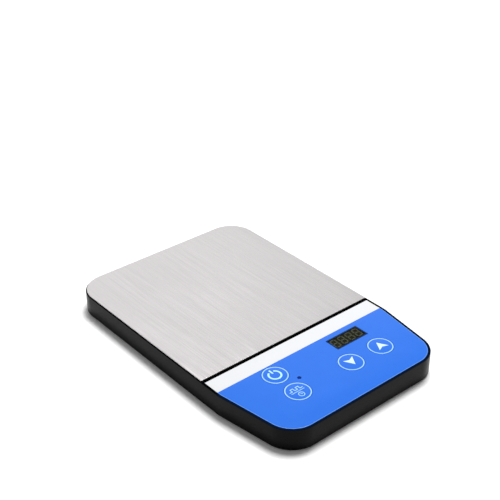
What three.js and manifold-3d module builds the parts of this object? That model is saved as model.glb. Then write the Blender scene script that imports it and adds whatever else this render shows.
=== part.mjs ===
// A flat laboratory magnetic stirrer. Millimetres, +Z up. The origin is at the centre of the
// footprint, on the surface that the feet stand on. The control panel faces -Y.
import * as THREE from "three";
import { mergeVertices } from "three/addons/utils/BufferGeometryUtils.js";
import Module from "manifold-3d";

const wasm = await Module();
wasm.setup();

// ---------------------------------------------------------------- driving dimensions

// Casing footprint: parallel sides from the rear, drawn in towards a narrower front.
const CASING_LENGTH = 180.2;
const CASING_WIDTH = 120.5;
const TAPER_LENGTH = 47.4;
const TAPER_DEGREES = 8.6;
const REAR_CORNER = 16.4;
const FRONT_CORNER = 16.4;

// Casing section.
const FOOT_LIFT = 0.6;
const CASING_HEIGHT = 12.4;
const WALL = 2.2;
const PLATE_DECK = 1.4;
const PANEL_DECK = 1.6;
const BOTTOM_ROUND = 0.3;
const TOP_ROUND = 0.4;

// Top plate on its bonding gasket.
const PLATE_THICKNESS = 0.5;
const GASKET_THICKNESS = 0.1;
const PLATE_MARGIN = 0.7;
const GASKET_MARGIN = 0.25;
const PLATE_FRONT_CORNER = 0.6;

// The panel film in its recess, and the groove between the panel and the plate.
const PANEL_LENGTH = 60.35;
const GROOVE_WIDTH = 1.8;
const GROOVE_DEPTH = 0.8;
const LIP_WIDTH = 1.45;
const FILM_THICKNESS = 0.4;
const FILM_BELOW_LIP = 0.1;
const FILM_CLEARANCE = 0.1;

// Keys, measured from the middle of the casing and from its front edge.
const KEY_RADIUS = 7.2;
const KEY_GAP = 0.15;
const KEY_FLANGE = 1.05;
const KEY_FLANGE_THICKNESS = 0.8;
const KEY_TRAVEL = 0.3;
const KEY_SHELL = 1.1;
const KEY_STEM_RADIUS = 2;
const LEFT_COLUMN = -27.1;
const DOWN_COLUMN = 10.6;
const UP_COLUMN = 32.6;
const FRONT_ROW = 24.55;
const REAR_ROW = 41.9;

// Display and status light.
const WINDOW_WIDTH = 22.5;
const WINDOW_HEIGHT = 9.6;
const WINDOW_GAP = 0.1;
const WINDOW_LEDGE = 0.5;
const DISPLAY_GAP = 0.1;
const DISPLAY_X = 24.4;
const DISPLAY_FROM_FRONT = 41.6;
const LED_RADIUS = 1;
const LED_GAP = 0.12;
const LED_X = -19.1;
const LED_FROM_FRONT = 32.3;
const LED_BASE_RADIUS = 1.6;
const LED_BASE_HEIGHT = 1.2;
const LED_BELOW_FILM = 0.05;

// Base plate, its screws and the feet.
const BASE_THICKNESS = 1.6;
const BASE_CLEARANCE = 0.2;
const BOSS_RADIUS = 3;
const BOSS_TO_WALL = 1;
const SCREW_RADIUS = 1.1;
const SCREW_CLEARANCE = 0.15;
const SCREW_LENGTH = 6.8;
const PILOT_SPARE = 0.5;
const SCREW_HEAD_RADIUS = 2.2;
const SCREW_HEAD_HEIGHT = 0.85;
const SCREW_HEAD_SUNK = 1;
const CROSS_RECESS = 2.4;
const CROSS_WIDTH = 0.55;
const CROSS_DEPTH = 0.5;
const FOOT_RADIUS = 6;
const FOOT_SEAT = 0.8;
const FOOT_CLEARANCE = 0.15;
const FOOT_ROUND = 0.4;
const FOOT_FROM_SCREW = 13;
const LABEL_WIDTH = 50;
const LABEL_LENGTH = 30;
const LABEL_DEPTH = 0.3;

// Control board on its posts.
const BOARD_THICKNESS = 1.2;
const BOARD_POST_HEIGHT = 1;
const BOARD_POST_RADIUS = 2.6;
const BOARD_MARGIN = 11;
const BOARD_SCREW_INSET = 3;
const BOARD_SCREW_RADIUS = 0.9;
const BOARD_SCREW_HEAD = 1.8;
const BOARD_SCREW_HEAD_HEIGHT = 1;
const BOARD_SCREW_DEPTH = 1.2;
const BOARD_PILOT_GAP = 0.1;
const BOARD_PILOT_SPARE = 0.2;

// Tact switches under the keys.
const SWITCH_SIDE = 6;
const SWITCH_HEIGHT = 3.5;
const PLUNGER_RADIUS = 1.7;
const PLUNGER_GAP = 0.15;
const PLUNGER_PROUD = 0.8;
const PLUNGER_IN_BODY = 1;

// Coils, cores and the plate that carries them.
const YOKE_THICKNESS = 1.2;
const YOKE_MARGIN = 1.2;
const YOKE_CORNER = 4;
const COIL_PITCH = 33;
const CORE_RADIUS = 5;
const CORE_TO_DECK = 0.4;
const CORE_SPIGOT_RADIUS = 2.5;
const BOBBIN_FIT = 0.15;
const BOBBIN_TUBE = 0.9;
const BOBBIN_FLANGE = 0.8;
const BOBBIN_RADIUS = 13.5;
const BOBBIN_TO_DECK = 0.7;
const WINDING_GAP = 0.1;
const WINDING_TO_RIM = 0.7;
const STAKE_RADIUS = 1.5;
const STAKE_FIT = 0.12;
const STAKE_PROUD = 0.6;
const STAKE_INSET = 3.2;
const TERMINAL_WIDTH = 30;
const TERMINAL_LENGTH = 7;
const TERMINAL_THICKNESS = 1;

// Power inlet in the rear wall.
const INLET_X = 38;
const INLET_WIDTH = 9;
const INLET_HEIGHT = 8.4;
const INLET_DEPTH = 11;
const INLET_NOSE_RADIUS = 4;
const INLET_NOSE_GAP = 0.15;
const INLET_BELOW_WALL = 0.3;
const INLET_TO_WALL = 0.3;
const SOCKET_RADIUS = 3.1;
const SOCKET_DEPTH = 9.5;
const PIN_RADIUS = 1.05;
const PIN_FIT = 0.1;
const PIN_BELOW_FACE = 0.8;
const PIN_TAIL = 1.2;
const RIB_THICKNESS = 1.2;
const RIB_HEIGHT = 5;
const RIB_GAP = 0.15;

// Leads inside the casing.
const POWER_LEAD_RADIUS = 1.2;
const COIL_CABLE_RADIUS = 1.5;
const LEAD_END_GAP = 0.3;
const LEAD_REST = 0.1;
const LEAD_SIDES = 8;
const LEAD_STEPS = 26;
const LEAD_POINTS = 16;
const LEAD_RAMP_SHARE = 0.3;
const CONNECTOR_HEIGHT = 4;
const CONNECTOR_LENGTH = 5;
const POWER_CONNECTOR_WIDTH = 7;
const COIL_CONNECTOR_WIDTH = 10;

// Loose components on the board: width, length and height.
const CONTROLLER_SIZE = [9, 9, 1.2];
const DRIVER_SIZE = [5, 6, 1.5];
const INDUCTOR_SIZE = [6, 6, 3.5];
const CAPACITOR_RADIUS = 3.1;
const CAPACITOR_HEIGHT = 4.6;
const COMPONENT_GAP = 1;

// How far a cutting shape runs past the faces that it cuts through.
const PAST = 1;

// Facets of turned pieces.
const KEY_FACETS = 40;
const TURNED_FACETS = 24;
const SMALL_FACETS = 12;
const ARC_STEP_DEGREES = 9;

// ---------------------------------------------------------------- levels and places

const FRONT = -CASING_LENGTH / 2;
const REAR = CASING_LENGTH / 2;
const SIDE = CASING_WIDTH / 2;
const TAPER = THREE.MathUtils.degToRad(TAPER_DEGREES);
const TAPER_Y = FRONT + TAPER_LENGTH;
const FRONT_SIDE = SIDE - TAPER_LENGTH * Math.tan(TAPER);

const LIP_Z = FOOT_LIFT + CASING_HEIGHT;
const GASKET_TOP_Z = LIP_Z + GASKET_THICKNESS;
const PLATE_TOP_Z = GASKET_TOP_Z + PLATE_THICKNESS;
const REAR_CEILING_Z = LIP_Z - PLATE_DECK;
const FILM_TOP_Z = LIP_Z - FILM_BELOW_LIP;
const PANEL_Z = FILM_TOP_Z - FILM_THICKNESS;
const PANEL_CEILING_Z = PANEL_Z - PANEL_DECK;

const PANEL_REAR_Y = FRONT + PANEL_LENGTH;
const PLATE_FRONT_Y = PANEL_REAR_Y + GROOVE_WIDTH;
const DECK_STEP_Y = PLATE_FRONT_Y + WALL;

const BASE_TOP_Z = FOOT_LIFT + BASE_THICKNESS;
const BOARD_Z = BASE_TOP_Z + BOARD_POST_HEIGHT;
const BOARD_TOP_Z = BOARD_Z + BOARD_THICKNESS;
const SWITCH_TOP_Z = BOARD_TOP_Z + SWITCH_HEIGHT;
const PLUNGER_TOP_Z = SWITCH_TOP_Z + PLUNGER_PROUD;

const KEYS = [
  { name: "power", x: LEFT_COLUMN, y: FRONT + REAR_ROW },
  { name: "pulse", x: LEFT_COLUMN, y: FRONT + FRONT_ROW },
  { name: "down", x: DOWN_COLUMN, y: FRONT + FRONT_ROW },
  { name: "up", x: UP_COLUMN, y: FRONT + FRONT_ROW },
];
const DISPLAY_Y = FRONT + DISPLAY_FROM_FRONT;
const LED_Y = FRONT + LED_FROM_FRONT;
const DISPLAY_WIDTH = WINDOW_WIDTH - 2 * (WINDOW_LEDGE + DISPLAY_GAP);
const DISPLAY_LENGTH = WINDOW_HEIGHT - 2 * (WINDOW_LEDGE + DISPLAY_GAP);

const BOARD = {
  x0: Math.min(...KEYS.map((k) => k.x)) - BOARD_MARGIN,
  x1: Math.max(...KEYS.map((k) => k.x), DISPLAY_X) + BOARD_MARGIN,
  y0: Math.min(...KEYS.map((k) => k.y)) - BOARD_MARGIN,
  y1: Math.max(...KEYS.map((k) => k.y), DISPLAY_Y) + BOARD_MARGIN + BOARD_SCREW_INSET,
};

const COIL_Y = (REAR - PLATE_MARGIN + PLATE_FRONT_Y) / 2;
const YOKE_TOP_Z = BASE_TOP_Z + YOKE_THICKNESS;
const COIL_REACH = COIL_PITCH / 2 + BOBBIN_RADIUS;
const TERMINAL_Y = COIL_Y - COIL_REACH - COMPONENT_GAP - TERMINAL_LENGTH;
const YOKE = {
  x0: -COIL_REACH - YOKE_MARGIN,
  x1: COIL_REACH + YOKE_MARGIN,
  y0: TERMINAL_Y,
  y1: COIL_Y + COIL_REACH + YOKE_MARGIN,
};

const INLET_Z = BASE_TOP_Z + INLET_HEIGHT / 2;
const INLET_FACE_Y = REAR - INLET_BELOW_WALL;
const INLET_BODY_REAR_Y = REAR - WALL - INLET_TO_WALL;
const INLET_BODY_FRONT_Y = INLET_BODY_REAR_Y - INLET_DEPTH;

const CONNECTOR_Y = BOARD.y1 - CONNECTOR_LENGTH / 2;
const POWER_CONNECTOR_X = BOARD.x1 - 2 * BOARD_SCREW_INSET - POWER_CONNECTOR_WIDTH / 2;
const COIL_CONNECTOR_X = (LEFT_COLUMN + DISPLAY_X) / 2;
const BETWEEN_ROWS_Y = FRONT + (FRONT_ROW + REAR_ROW) / 2;
const CONTROLLER_X = (LED_X + DOWN_COLUMN) / 2;
const INDUCTOR_X = (DOWN_COLUMN + UP_COLUMN) / 2;
const CAPACITOR_X = DISPLAY_X + DISPLAY_WIDTH / 2 + COMPONENT_GAP + CAPACITOR_RADIUS;
const DRIVER_Y = BOARD.y1 - CONNECTOR_LENGTH - COMPONENT_GAP - DRIVER_SIZE[1] / 2;
const DRIVERS_X = [-1, 1].map((side) => COIL_CONNECTOR_X + side * (DRIVER_SIZE[0] / 2 + COMPONENT_GAP));
const BOARD_PILOT_Z = BOARD_Z - BOARD_SCREW_DEPTH - BOARD_PILOT_SPARE;
const SCREW_TIP_Z = FOOT_LIFT + SCREW_HEAD_SUNK + SCREW_LENGTH;

// ---------------------------------------------------------------- solids

// A closed geometry as a solid that can be joined and cut.
function solid(geometry) {
  const bare = geometry.clone();
  bare.deleteAttribute("normal");
  bare.deleteAttribute("uv");
  const merged = mergeVertices(bare, 1e-4);
  return new wasm.Manifold(
    new wasm.Mesh({
      numProp: 3,
      vertProperties: merged.attributes.position.array,
      triVerts: new Uint32Array(merged.index.array),
    }),
  );
}

function join(...parts) {
  return parts.reduce((sum, part) => sum.add(part));
}

function cut(body, ...tools) {
  return tools.reduce((left, tool) => left.subtract(tool), body);
}

// A solid's surface as a geometry with flat facets.
function surface(body) {
  const mesh = body.getMesh();
  const points = new Float32Array(mesh.numVert * 3);
  for (let i = 0; i < mesh.numVert; i++) {
    points.set(mesh.vertProperties.subarray(i * mesh.numProp, i * mesh.numProp + 3), i * 3);
  }
  const geometry = new THREE.BufferGeometry();
  geometry.setAttribute("position", new THREE.BufferAttribute(points, 3));
  geometry.setIndex(new THREE.BufferAttribute(mesh.triVerts, 1));
  const faceted = geometry.toNonIndexed();
  faceted.computeVertexNormals();
  return faceted;
}

// A box between two corners.
function box(x0, x1, y0, y1, z0, z1) {
  const geometry = new THREE.BoxGeometry(x1 - x0, y1 - y0, z1 - z0);
  return solid(geometry.translate((x0 + x1) / 2, (y0 + y1) / 2, (z0 + z1) / 2));
}

// A box of a given size that stands on a level, centred on a point.
function block(x, y, z, [width, length, height]) {
  return box(x - width / 2, x + width / 2, y - length / 2, y + length / 2, z, z + height);
}

// An upright cylinder.
function disc(x, y, radius, z0, z1, facets = TURNED_FACETS) {
  const geometry = new THREE.CylinderGeometry(radius, radius, z1 - z0, facets);
  return solid(geometry.rotateX(Math.PI / 2).translate(x, y, (z0 + z1) / 2));
}

// A cylinder that lies along Y.
function rod(x, z, radius, y0, y1, facets = TURNED_FACETS) {
  const geometry = new THREE.CylinderGeometry(radius, radius, y1 - y0, facets);
  return solid(geometry.translate(x, (y0 + y1) / 2, z));
}

// A piece turned about an upright axis. The profile is a list of [radius, level], going up.
function turned(x, y, profile, facets = TURNED_FACETS) {
  const points = profile.map(([radius, level]) => new THREE.Vector2(radius, level));
  const geometry = new THREE.LatheGeometry(points, facets);
  return solid(geometry.rotateX(Math.PI / 2).translate(x, y, 0));
}

// An upright slab with an outline, optionally with its top and bottom edges rounded.
function slab(outline, z0, z1, round = 0, roundSteps = 2) {
  const geometry = new THREE.ExtrudeGeometry(outline, {
    depth: z1 - z0 - 2 * round,
    bevelEnabled: round > 0,
    bevelThickness: round,
    bevelSize: round,
    bevelOffset: -round,
    bevelSegments: roundSteps,
  });
  return solid(geometry.translate(0, 0, z0 + round));
}

// ---------------------------------------------------------------- outlines

// Moves each edge of an anticlockwise polygon inwards by its own distance.
function inset(corners, distances) {
  const edges = corners.map((corner, i) => {
    const next = corners[(i + 1) % corners.length];
    const along = next.clone().sub(corner).normalize();
    const inwards = new THREE.Vector2(-along.y, along.x);
    return { point: corner.clone().addScaledVector(inwards, distances[i]), along };
  });
  return edges.map((edge, i) => {
    const last = edges[(i + edges.length - 1) % edges.length];
    const between = edge.point.clone().sub(last.point);
    const reach = between.cross(edge.along) / last.along.cross(edge.along);
    return last.point.clone().addScaledVector(last.along, reach);
  });
}

// The centre of a rounded corner and the direction from it to the corner.
function cornerCentre(corners, i, radius) {
  const corner = corners[i];
  const toLast = corners[(i + corners.length - 1) % corners.length].clone().sub(corner).normalize();
  const toNext = corners[(i + 1) % corners.length].clone().sub(corner).normalize();
  const halfAngle = Math.acos(toLast.dot(toNext)) / 2;
  const inwards = toLast.clone().add(toNext).normalize();
  return {
    centre: corner.clone().addScaledVector(inwards, radius / Math.sin(halfAngle)),
    outwards: inwards.clone().negate(),
    halfTurn: Math.PI / 2 - halfAngle,
  };
}

// A closed outline with an arc at each corner whose radius isn't 0.
function rounded(corners, radii) {
  const points = corners.flatMap((corner, i) => {
    const radius = radii[i];
    if (radius <= 0) {
      return [corner.clone()];
    }
    const { centre, outwards, halfTurn } = cornerCentre(corners, i, radius);
    const steps = Math.max(2, Math.round((2 * halfTurn) / THREE.MathUtils.degToRad(ARC_STEP_DEGREES)));
    return Array.from({ length: steps + 1 }, (_, step) => {
      const angle = outwards.angle() - halfTurn + (2 * halfTurn * step) / steps;
      return new THREE.Vector2(Math.cos(angle), Math.sin(angle)).multiplyScalar(radius).add(centre);
    });
  });
  return new THREE.Shape(points);
}

// The casing's corners before rounding, anticlockwise from the rear right.
const CASING_CORNERS = [
  new THREE.Vector2(SIDE, REAR),
  new THREE.Vector2(-SIDE, REAR),
  new THREE.Vector2(-SIDE, TAPER_Y),
  new THREE.Vector2(-FRONT_SIDE, FRONT),
  new THREE.Vector2(FRONT_SIDE, FRONT),
  new THREE.Vector2(SIDE, TAPER_Y),
];
const CASING_RADII = [REAR_CORNER, REAR_CORNER, 0, FRONT_CORNER, FRONT_CORNER, 0];

// The casing's outline, moved inwards.
function casingOutline(distance) {
  const radii = CASING_RADII.map((radius) => Math.max(0, radius - distance));
  return rounded(inset(CASING_CORNERS, CASING_CORNERS.map(() => distance)), radii);
}

// The part of the casing's outline behind (side 1) or in front of (side -1) a line across it,
// moved inwards by a margin, and by a cut margin along the line.
function outlineBeyond(y, side, margin, cutMargin, cutCorner) {
  const isKept = (corner) => side * (corner.y - y) > 0;
  const stations = CASING_CORNERS.flatMap((corner, i) => {
    const next = CASING_CORNERS[(i + 1) % CASING_CORNERS.length];
    const radius = Math.max(0, CASING_RADII[i] - margin);
    const here = isKept(corner) ? [{ corner, radius, margin }] : [];
    if (isKept(corner) === isKept(next)) {
      return here;
    }
    const crossing = corner.clone().lerp(next, (y - corner.y) / (next.y - corner.y));
    const nextMargin = isKept(corner) ? cutMargin : margin;
    return [...here, { corner: crossing, radius: cutCorner, margin: nextMargin }];
  });
  const corners = inset(stations.map((at) => at.corner), stations.map((at) => at.margin));
  return rounded(corners, stations.map((at) => at.radius));
}

// The outline of what covers the plate deck.
function plateOutline(margin, cutMargin) {
  return outlineBeyond(PLATE_FRONT_Y, 1, margin, cutMargin, PLATE_FRONT_CORNER);
}

// The panel's outline.
function panelOutline(margin, cutMargin) {
  return outlineBeyond(PANEL_REAR_Y, -1, margin, cutMargin, 0);
}

// A rectangle with rounded corners.
function rectangle({ x0, x1, y0, y1 }, radius) {
  const corners = [
    new THREE.Vector2(x1, y1),
    new THREE.Vector2(x0, y1),
    new THREE.Vector2(x0, y0),
    new THREE.Vector2(x1, y0),
  ];
  return rounded(corners, [radius, radius, radius, radius]);
}

// ---------------------------------------------------------------- repeated places

// The four screw bosses sit inside the rounded corners, clear of the wall.
const SCREW_CORNERS = CASING_RADII.flatMap((radius, i) =>
  radius > 0 ? [{ radius, ...cornerCentre(CASING_CORNERS, i, radius) }] : [],
);
const BOSSES = SCREW_CORNERS.map(({ radius, centre, outwards }) =>
  centre.clone().addScaledVector(outwards, radius - WALL - BOSS_TO_WALL - BOSS_RADIUS),
);
const FEET = SCREW_CORNERS.map(({ outwards }, i) =>
  BOSSES[i].clone().addScaledVector(outwards, -FOOT_FROM_SCREW),
);
const BOARD_SCREWS = [
  [BOARD.x0 + BOARD_SCREW_INSET, BOARD.y0 + BOARD_SCREW_INSET],
  [BOARD.x1 - BOARD_SCREW_INSET, BOARD.y0 + BOARD_SCREW_INSET],
  [BOARD.x0 + BOARD_SCREW_INSET, BOARD.y1 - BOARD_SCREW_INSET],
  [BOARD.x1 - BOARD_SCREW_INSET, BOARD.y1 - BOARD_SCREW_INSET],
];
const COILS = [
  [-COIL_PITCH / 2, COIL_Y - COIL_PITCH / 2],
  [COIL_PITCH / 2, COIL_Y - COIL_PITCH / 2],
  [COIL_PITCH / 2, COIL_Y + COIL_PITCH / 2],
  [-COIL_PITCH / 2, COIL_Y + COIL_PITCH / 2],
];
const STAKES = [
  [YOKE.x0 + STAKE_INSET, YOKE.y0 + STAKE_INSET],
  [YOKE.x1 - STAKE_INSET, YOKE.y0 + STAKE_INSET],
  [YOKE.x0 + STAKE_INSET, YOKE.y1 - STAKE_INSET],
  [YOKE.x1 - STAKE_INSET, YOKE.y1 - STAKE_INSET],
];

// ---------------------------------------------------------------- materials

function finish(color, roughness, metalness = 0) {
  return new THREE.MeshStandardMaterial({ color, roughness, metalness });
}

const BLACK_PLASTIC = finish("#262627", 0.55);
const BRUSHED_STEEL = finish("#c9c7c6", 0.32, 1);
const BLACK_FOAM = finish("#0d0d0e", 0.9);
const PRINTED_FILM = finish("#2a78f0", 0.35);
const SMOKED_WINDOW = finish("#15150f", 0.12);
const RUBBER = finish("#1b1b1c", 0.85);
const SCREW_STEEL = finish("#8e9092", 0.35, 1);
const BOARD_GREEN = finish("#1d5a38", 0.5);
const CHIP_BLACK = finish("#17181a", 0.45);
const SWITCH_GREY = finish("#3a3c3e", 0.5);
const NYLON = finish("#e6e2d6", 0.5);
const SOFT_IRON = finish("#6d6f70", 0.45, 1);
const COPPER = finish("#b5652f", 0.35, 1);
const BRASS = finish("#c8a555", 0.3, 1);
const LED_DARK = finish("#0e1a3c", 0.25);
const LEAD_BLACK = finish("#202124", 0.6);
const CAPACITOR_METAL = finish("#b9bcc0", 0.35, 1);

// ---------------------------------------------------------------- the pieces

const group = new THREE.Group();
group.name = "magnetic_stirrer";

function place(name, body, material) {
  const mesh = new THREE.Mesh(surface(body), material);
  mesh.name = name;
  group.add(mesh);
}

// A level half way into the deck above a point.
function insideDeck(y) {
  return y < DECK_STEP_Y ? PANEL_CEILING_Z + PANEL_DECK / 2 : REAR_CEILING_Z + PLATE_DECK / 2;
}

// The shell: a rounded tray upside down, with two ceilings and the recess for the film.
function casing() {
  const tall = slab(casingOutline(0), FOOT_LIFT, LIP_Z + 2 * BOTTOM_ROUND, BOTTOM_ROUND);
  const topped = slab(casingOutline(0), FOOT_LIFT - 2 * TOP_ROUND, LIP_Z, TOP_ROUND, 1);
  const outer = tall.intersect(topped);
  const cavity = slab(casingOutline(WALL), 0, REAR_CEILING_Z);
  const lowCeiling = box(-SIDE, SIDE, FRONT, DECK_STEP_Y, PANEL_CEILING_Z, LIP_Z);
  const recess = slab(panelOutline(LIP_WIDTH, 0), PANEL_Z, LIP_Z + PAST);
  const groove = box(
    -SIDE + LIP_WIDTH,
    SIDE - LIP_WIDTH,
    PANEL_REAR_Y,
    PLATE_FRONT_Y,
    LIP_Z - GROOVE_DEPTH,
    LIP_Z + PAST,
  );
  const keyHoles = KEYS.map(({ x, y }) =>
    disc(x, y, KEY_RADIUS + KEY_GAP, PANEL_CEILING_Z - PAST, LIP_Z, KEY_FACETS),
  );
  const displayHole = block(DISPLAY_X, DISPLAY_Y, PANEL_CEILING_Z - PAST, [
    WINDOW_WIDTH - 2 * WINDOW_LEDGE,
    WINDOW_HEIGHT - 2 * WINDOW_LEDGE,
    PANEL_DECK + 2 * PAST,
  ]);
  const ledHole = disc(LED_X, LED_Y, LED_RADIUS + LED_GAP, PANEL_CEILING_Z - PAST, LIP_Z, SMALL_FACETS);
  const inletHole = rod(INLET_X, INLET_Z, INLET_NOSE_RADIUS + INLET_NOSE_GAP, REAR - 2 * WALL, REAR + PAST);
  const bosses = BOSSES.map(({ x, y }) =>
    disc(x, y, BOSS_RADIUS, BASE_TOP_Z, insideDeck(y), SMALL_FACETS),
  );
  const pilots = BOSSES.map(({ x, y }) =>
    disc(x, y, SCREW_RADIUS + SCREW_CLEARANCE, BASE_TOP_Z - PAST, SCREW_TIP_Z + PILOT_SPARE, SMALL_FACETS),
  );
  const shell = cut(outer, cut(cavity, lowCeiling), recess, groove, ...keyHoles);
  return cut(join(cut(shell, displayHole, ledHole, inletHole), ...bosses), ...pilots);
}

function topPlate() {
  return slab(plateOutline(PLATE_MARGIN, 0), GASKET_TOP_Z, PLATE_TOP_Z);
}

function plateGasket() {
  return slab(plateOutline(PLATE_MARGIN + GASKET_MARGIN, GASKET_MARGIN), LIP_Z, GASKET_TOP_Z);
}

// The film with round holes for the keys, a window and a hole for the light.
function panelOverlay() {
  const margin = LIP_WIDTH + FILM_CLEARANCE;
  const film = slab(panelOutline(margin, FILM_CLEARANCE), PANEL_Z, FILM_TOP_Z);
  const keyHoles = KEYS.map(({ x, y }) =>
    disc(x, y, KEY_RADIUS + KEY_GAP, PANEL_Z - PAST, LIP_Z, KEY_FACETS),
  );
  const windowHole = block(DISPLAY_X, DISPLAY_Y, PANEL_Z - PAST, [
    WINDOW_WIDTH + 2 * WINDOW_GAP,
    WINDOW_HEIGHT + 2 * WINDOW_GAP,
    FILM_THICKNESS + 2 * PAST,
  ]);
  const ledHole = disc(LED_X, LED_Y, LED_RADIUS + LED_GAP, PANEL_Z - PAST, LIP_Z, SMALL_FACETS);
  return cut(film, ...keyHoles, windowHole, ledHole);
}

function displayWindow() {
  return block(DISPLAY_X, DISPLAY_Y, PANEL_Z, [WINDOW_WIDTH, WINDOW_HEIGHT, FILM_THICKNESS]);
}

// A round key: a cap that fills its hole, a flange that stops it under the deck, and a stem.
function keyCap({ x, y }) {
  const flangeRadius = KEY_RADIUS + KEY_FLANGE;
  const flangeBottom = PANEL_CEILING_Z - KEY_FLANGE_THICKNESS;
  const roof = FILM_TOP_Z - KEY_SHELL;
  return turned(
    x,
    y,
    [
      [0, PLUNGER_TOP_Z],
      [KEY_STEM_RADIUS, PLUNGER_TOP_Z],
      [KEY_STEM_RADIUS, roof],
      [KEY_RADIUS - KEY_SHELL, roof],
      [KEY_RADIUS - KEY_SHELL, flangeBottom],
      [flangeRadius, flangeBottom],
      [flangeRadius, PANEL_CEILING_Z],
      [KEY_RADIUS, PANEL_CEILING_Z],
      [KEY_RADIUS, FILM_TOP_Z],
      [0, FILM_TOP_Z],
    ],
    KEY_FACETS,
  );
}

// The pressed part of a switch stands in the body with room below it for the key's travel.
function plunger({ x, y }) {
  return disc(x, y, PLUNGER_RADIUS, SWITCH_TOP_Z - PLUNGER_IN_BODY, PLUNGER_TOP_Z, SMALL_FACETS);
}

function switchBody({ x, y }) {
  const body = block(x, y, BOARD_TOP_Z, [SWITCH_SIDE, SWITCH_SIDE, SWITCH_HEIGHT]);
  const well = SWITCH_TOP_Z - PLUNGER_IN_BODY - 2 * KEY_TRAVEL;
  return cut(body, disc(x, y, PLUNGER_RADIUS + PLUNGER_GAP, well, SWITCH_TOP_Z + PAST, SMALL_FACETS));
}

function statusLed() {
  const baseTop = BOARD_TOP_Z + LED_BASE_HEIGHT;
  const top = FILM_TOP_Z - LED_BELOW_FILM;
  return turned(
    LED_X,
    LED_Y,
    [
      [0, BOARD_TOP_Z],
      [LED_BASE_RADIUS, BOARD_TOP_Z],
      [LED_BASE_RADIUS, baseTop],
      [LED_RADIUS, baseTop],
      [LED_RADIUS, top],
      [0, top],
    ],
    SMALL_FACETS,
  );
}

function displayModule() {
  return block(DISPLAY_X, DISPLAY_Y, BOARD_TOP_Z, [
    DISPLAY_WIDTH,
    DISPLAY_LENGTH,
    PANEL_Z - DISPLAY_GAP - BOARD_TOP_Z,
  ]);
}

// A post that stands on the base plate and is one with it.
function post(x, y, radius, top) {
  return disc(x, y, radius, FOOT_LIFT + BASE_THICKNESS / 2, top, SMALL_FACETS);
}

// An upright rib on the base plate between two places given in any order.
function rib(xa, xb, y0, y1) {
  const bottom = FOOT_LIFT + BASE_THICKNESS / 2;
  return box(Math.min(xa, xb), Math.max(xa, xb), y0, y1, bottom, BASE_TOP_Z + RIB_HEIGHT);
}

// On each side of the inlet's body a rib, and a return behind it that leaves room for the lead.
function inletRibs() {
  const y0 = INLET_BODY_FRONT_Y - RIB_GAP - RIB_THICKNESS;
  return [-1, 1].flatMap((side) => {
    const near = INLET_X + side * (INLET_WIDTH / 2 + RIB_GAP);
    const far = near + side * RIB_THICKNESS;
    const leadSide = INLET_X + side * (POWER_LEAD_RADIUS + PIN_RADIUS + RIB_GAP);
    return [rib(near, far, y0, INLET_BODY_REAR_Y), rib(leadSide, far, y0, y0 + RIB_THICKNESS)];
  });
}

// The cover under the casing, with what stands on it: board posts, stakes and the inlet's ribs.
function basePlate() {
  const plate = slab(casingOutline(WALL + BASE_CLEARANCE), FOOT_LIFT, BASE_TOP_Z);
  const posts = BOARD_SCREWS.map(([x, y]) => post(x, y, BOARD_POST_RADIUS, BOARD_Z));
  const stakes = STAKES.map(([x, y]) => post(x, y, STAKE_RADIUS, YOKE_TOP_Z + STAKE_PROUD));
  const pilots = BOARD_SCREWS.map(([x, y]) =>
    disc(x, y, BOARD_SCREW_RADIUS + BOARD_PILOT_GAP, BOARD_PILOT_Z, BOARD_Z + PAST, SMALL_FACETS),
  );
  const seats = FEET.map(({ x, y }) =>
    disc(x, y, FOOT_RADIUS + FOOT_CLEARANCE, FOOT_LIFT - PAST, FOOT_LIFT + FOOT_SEAT),
  );
  const sinkRadius = SCREW_HEAD_RADIUS + SCREW_CLEARANCE;
  const sinks = BOSSES.map(({ x, y }) =>
    disc(x, y, sinkRadius, FOOT_LIFT - PAST, FOOT_LIFT + SCREW_HEAD_SUNK, SMALL_FACETS),
  );
  const holes = BOSSES.map(({ x, y }) =>
    disc(x, y, SCREW_RADIUS + SCREW_CLEARANCE, FOOT_LIFT - PAST, BASE_TOP_Z + PAST, SMALL_FACETS),
  );
  const label = block(0, COIL_Y, FOOT_LIFT - PAST, [LABEL_WIDTH, LABEL_LENGTH, PAST + LABEL_DEPTH]);
  const whole = join(plate, ...posts, ...stakes, ...inletRibs());
  return cut(whole, ...pilots, ...seats, ...sinks, ...holes, label);
}

function foot({ x, y }) {
  return turned(x, y, [
    [0, 0],
    [FOOT_RADIUS - FOOT_ROUND, 0],
    [FOOT_RADIUS, FOOT_ROUND],
    [FOOT_RADIUS, FOOT_LIFT + FOOT_SEAT],
    [0, FOOT_LIFT + FOOT_SEAT],
  ]);
}

// A cross recess for a screw head, from one level to another.
function crossRecess(x, y, size, width, z0, z1) {
  return join(
    box(x - size / 2, x + size / 2, y - width / 2, y + width / 2, z0, z1),
    box(x - width / 2, x + width / 2, y - size / 2, y + size / 2, z0, z1),
  );
}

// A pan-head screw that goes up through the base plate into its boss.
function baseScrew({ x, y }) {
  const seat = FOOT_LIFT + SCREW_HEAD_SUNK;
  const face = seat - SCREW_HEAD_HEIGHT;
  const screw = turned(
    x,
    y,
    [
      [0, face],
      [SCREW_HEAD_RADIUS, face],
      [SCREW_HEAD_RADIUS, seat],
      [SCREW_RADIUS, seat],
      [SCREW_RADIUS, SCREW_TIP_Z - SCREW_RADIUS],
      [0, SCREW_TIP_Z],
    ],
    SMALL_FACETS,
  );
  return cut(screw, crossRecess(x, y, CROSS_RECESS, CROSS_WIDTH, face - PAST, face + CROSS_DEPTH));
}

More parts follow.
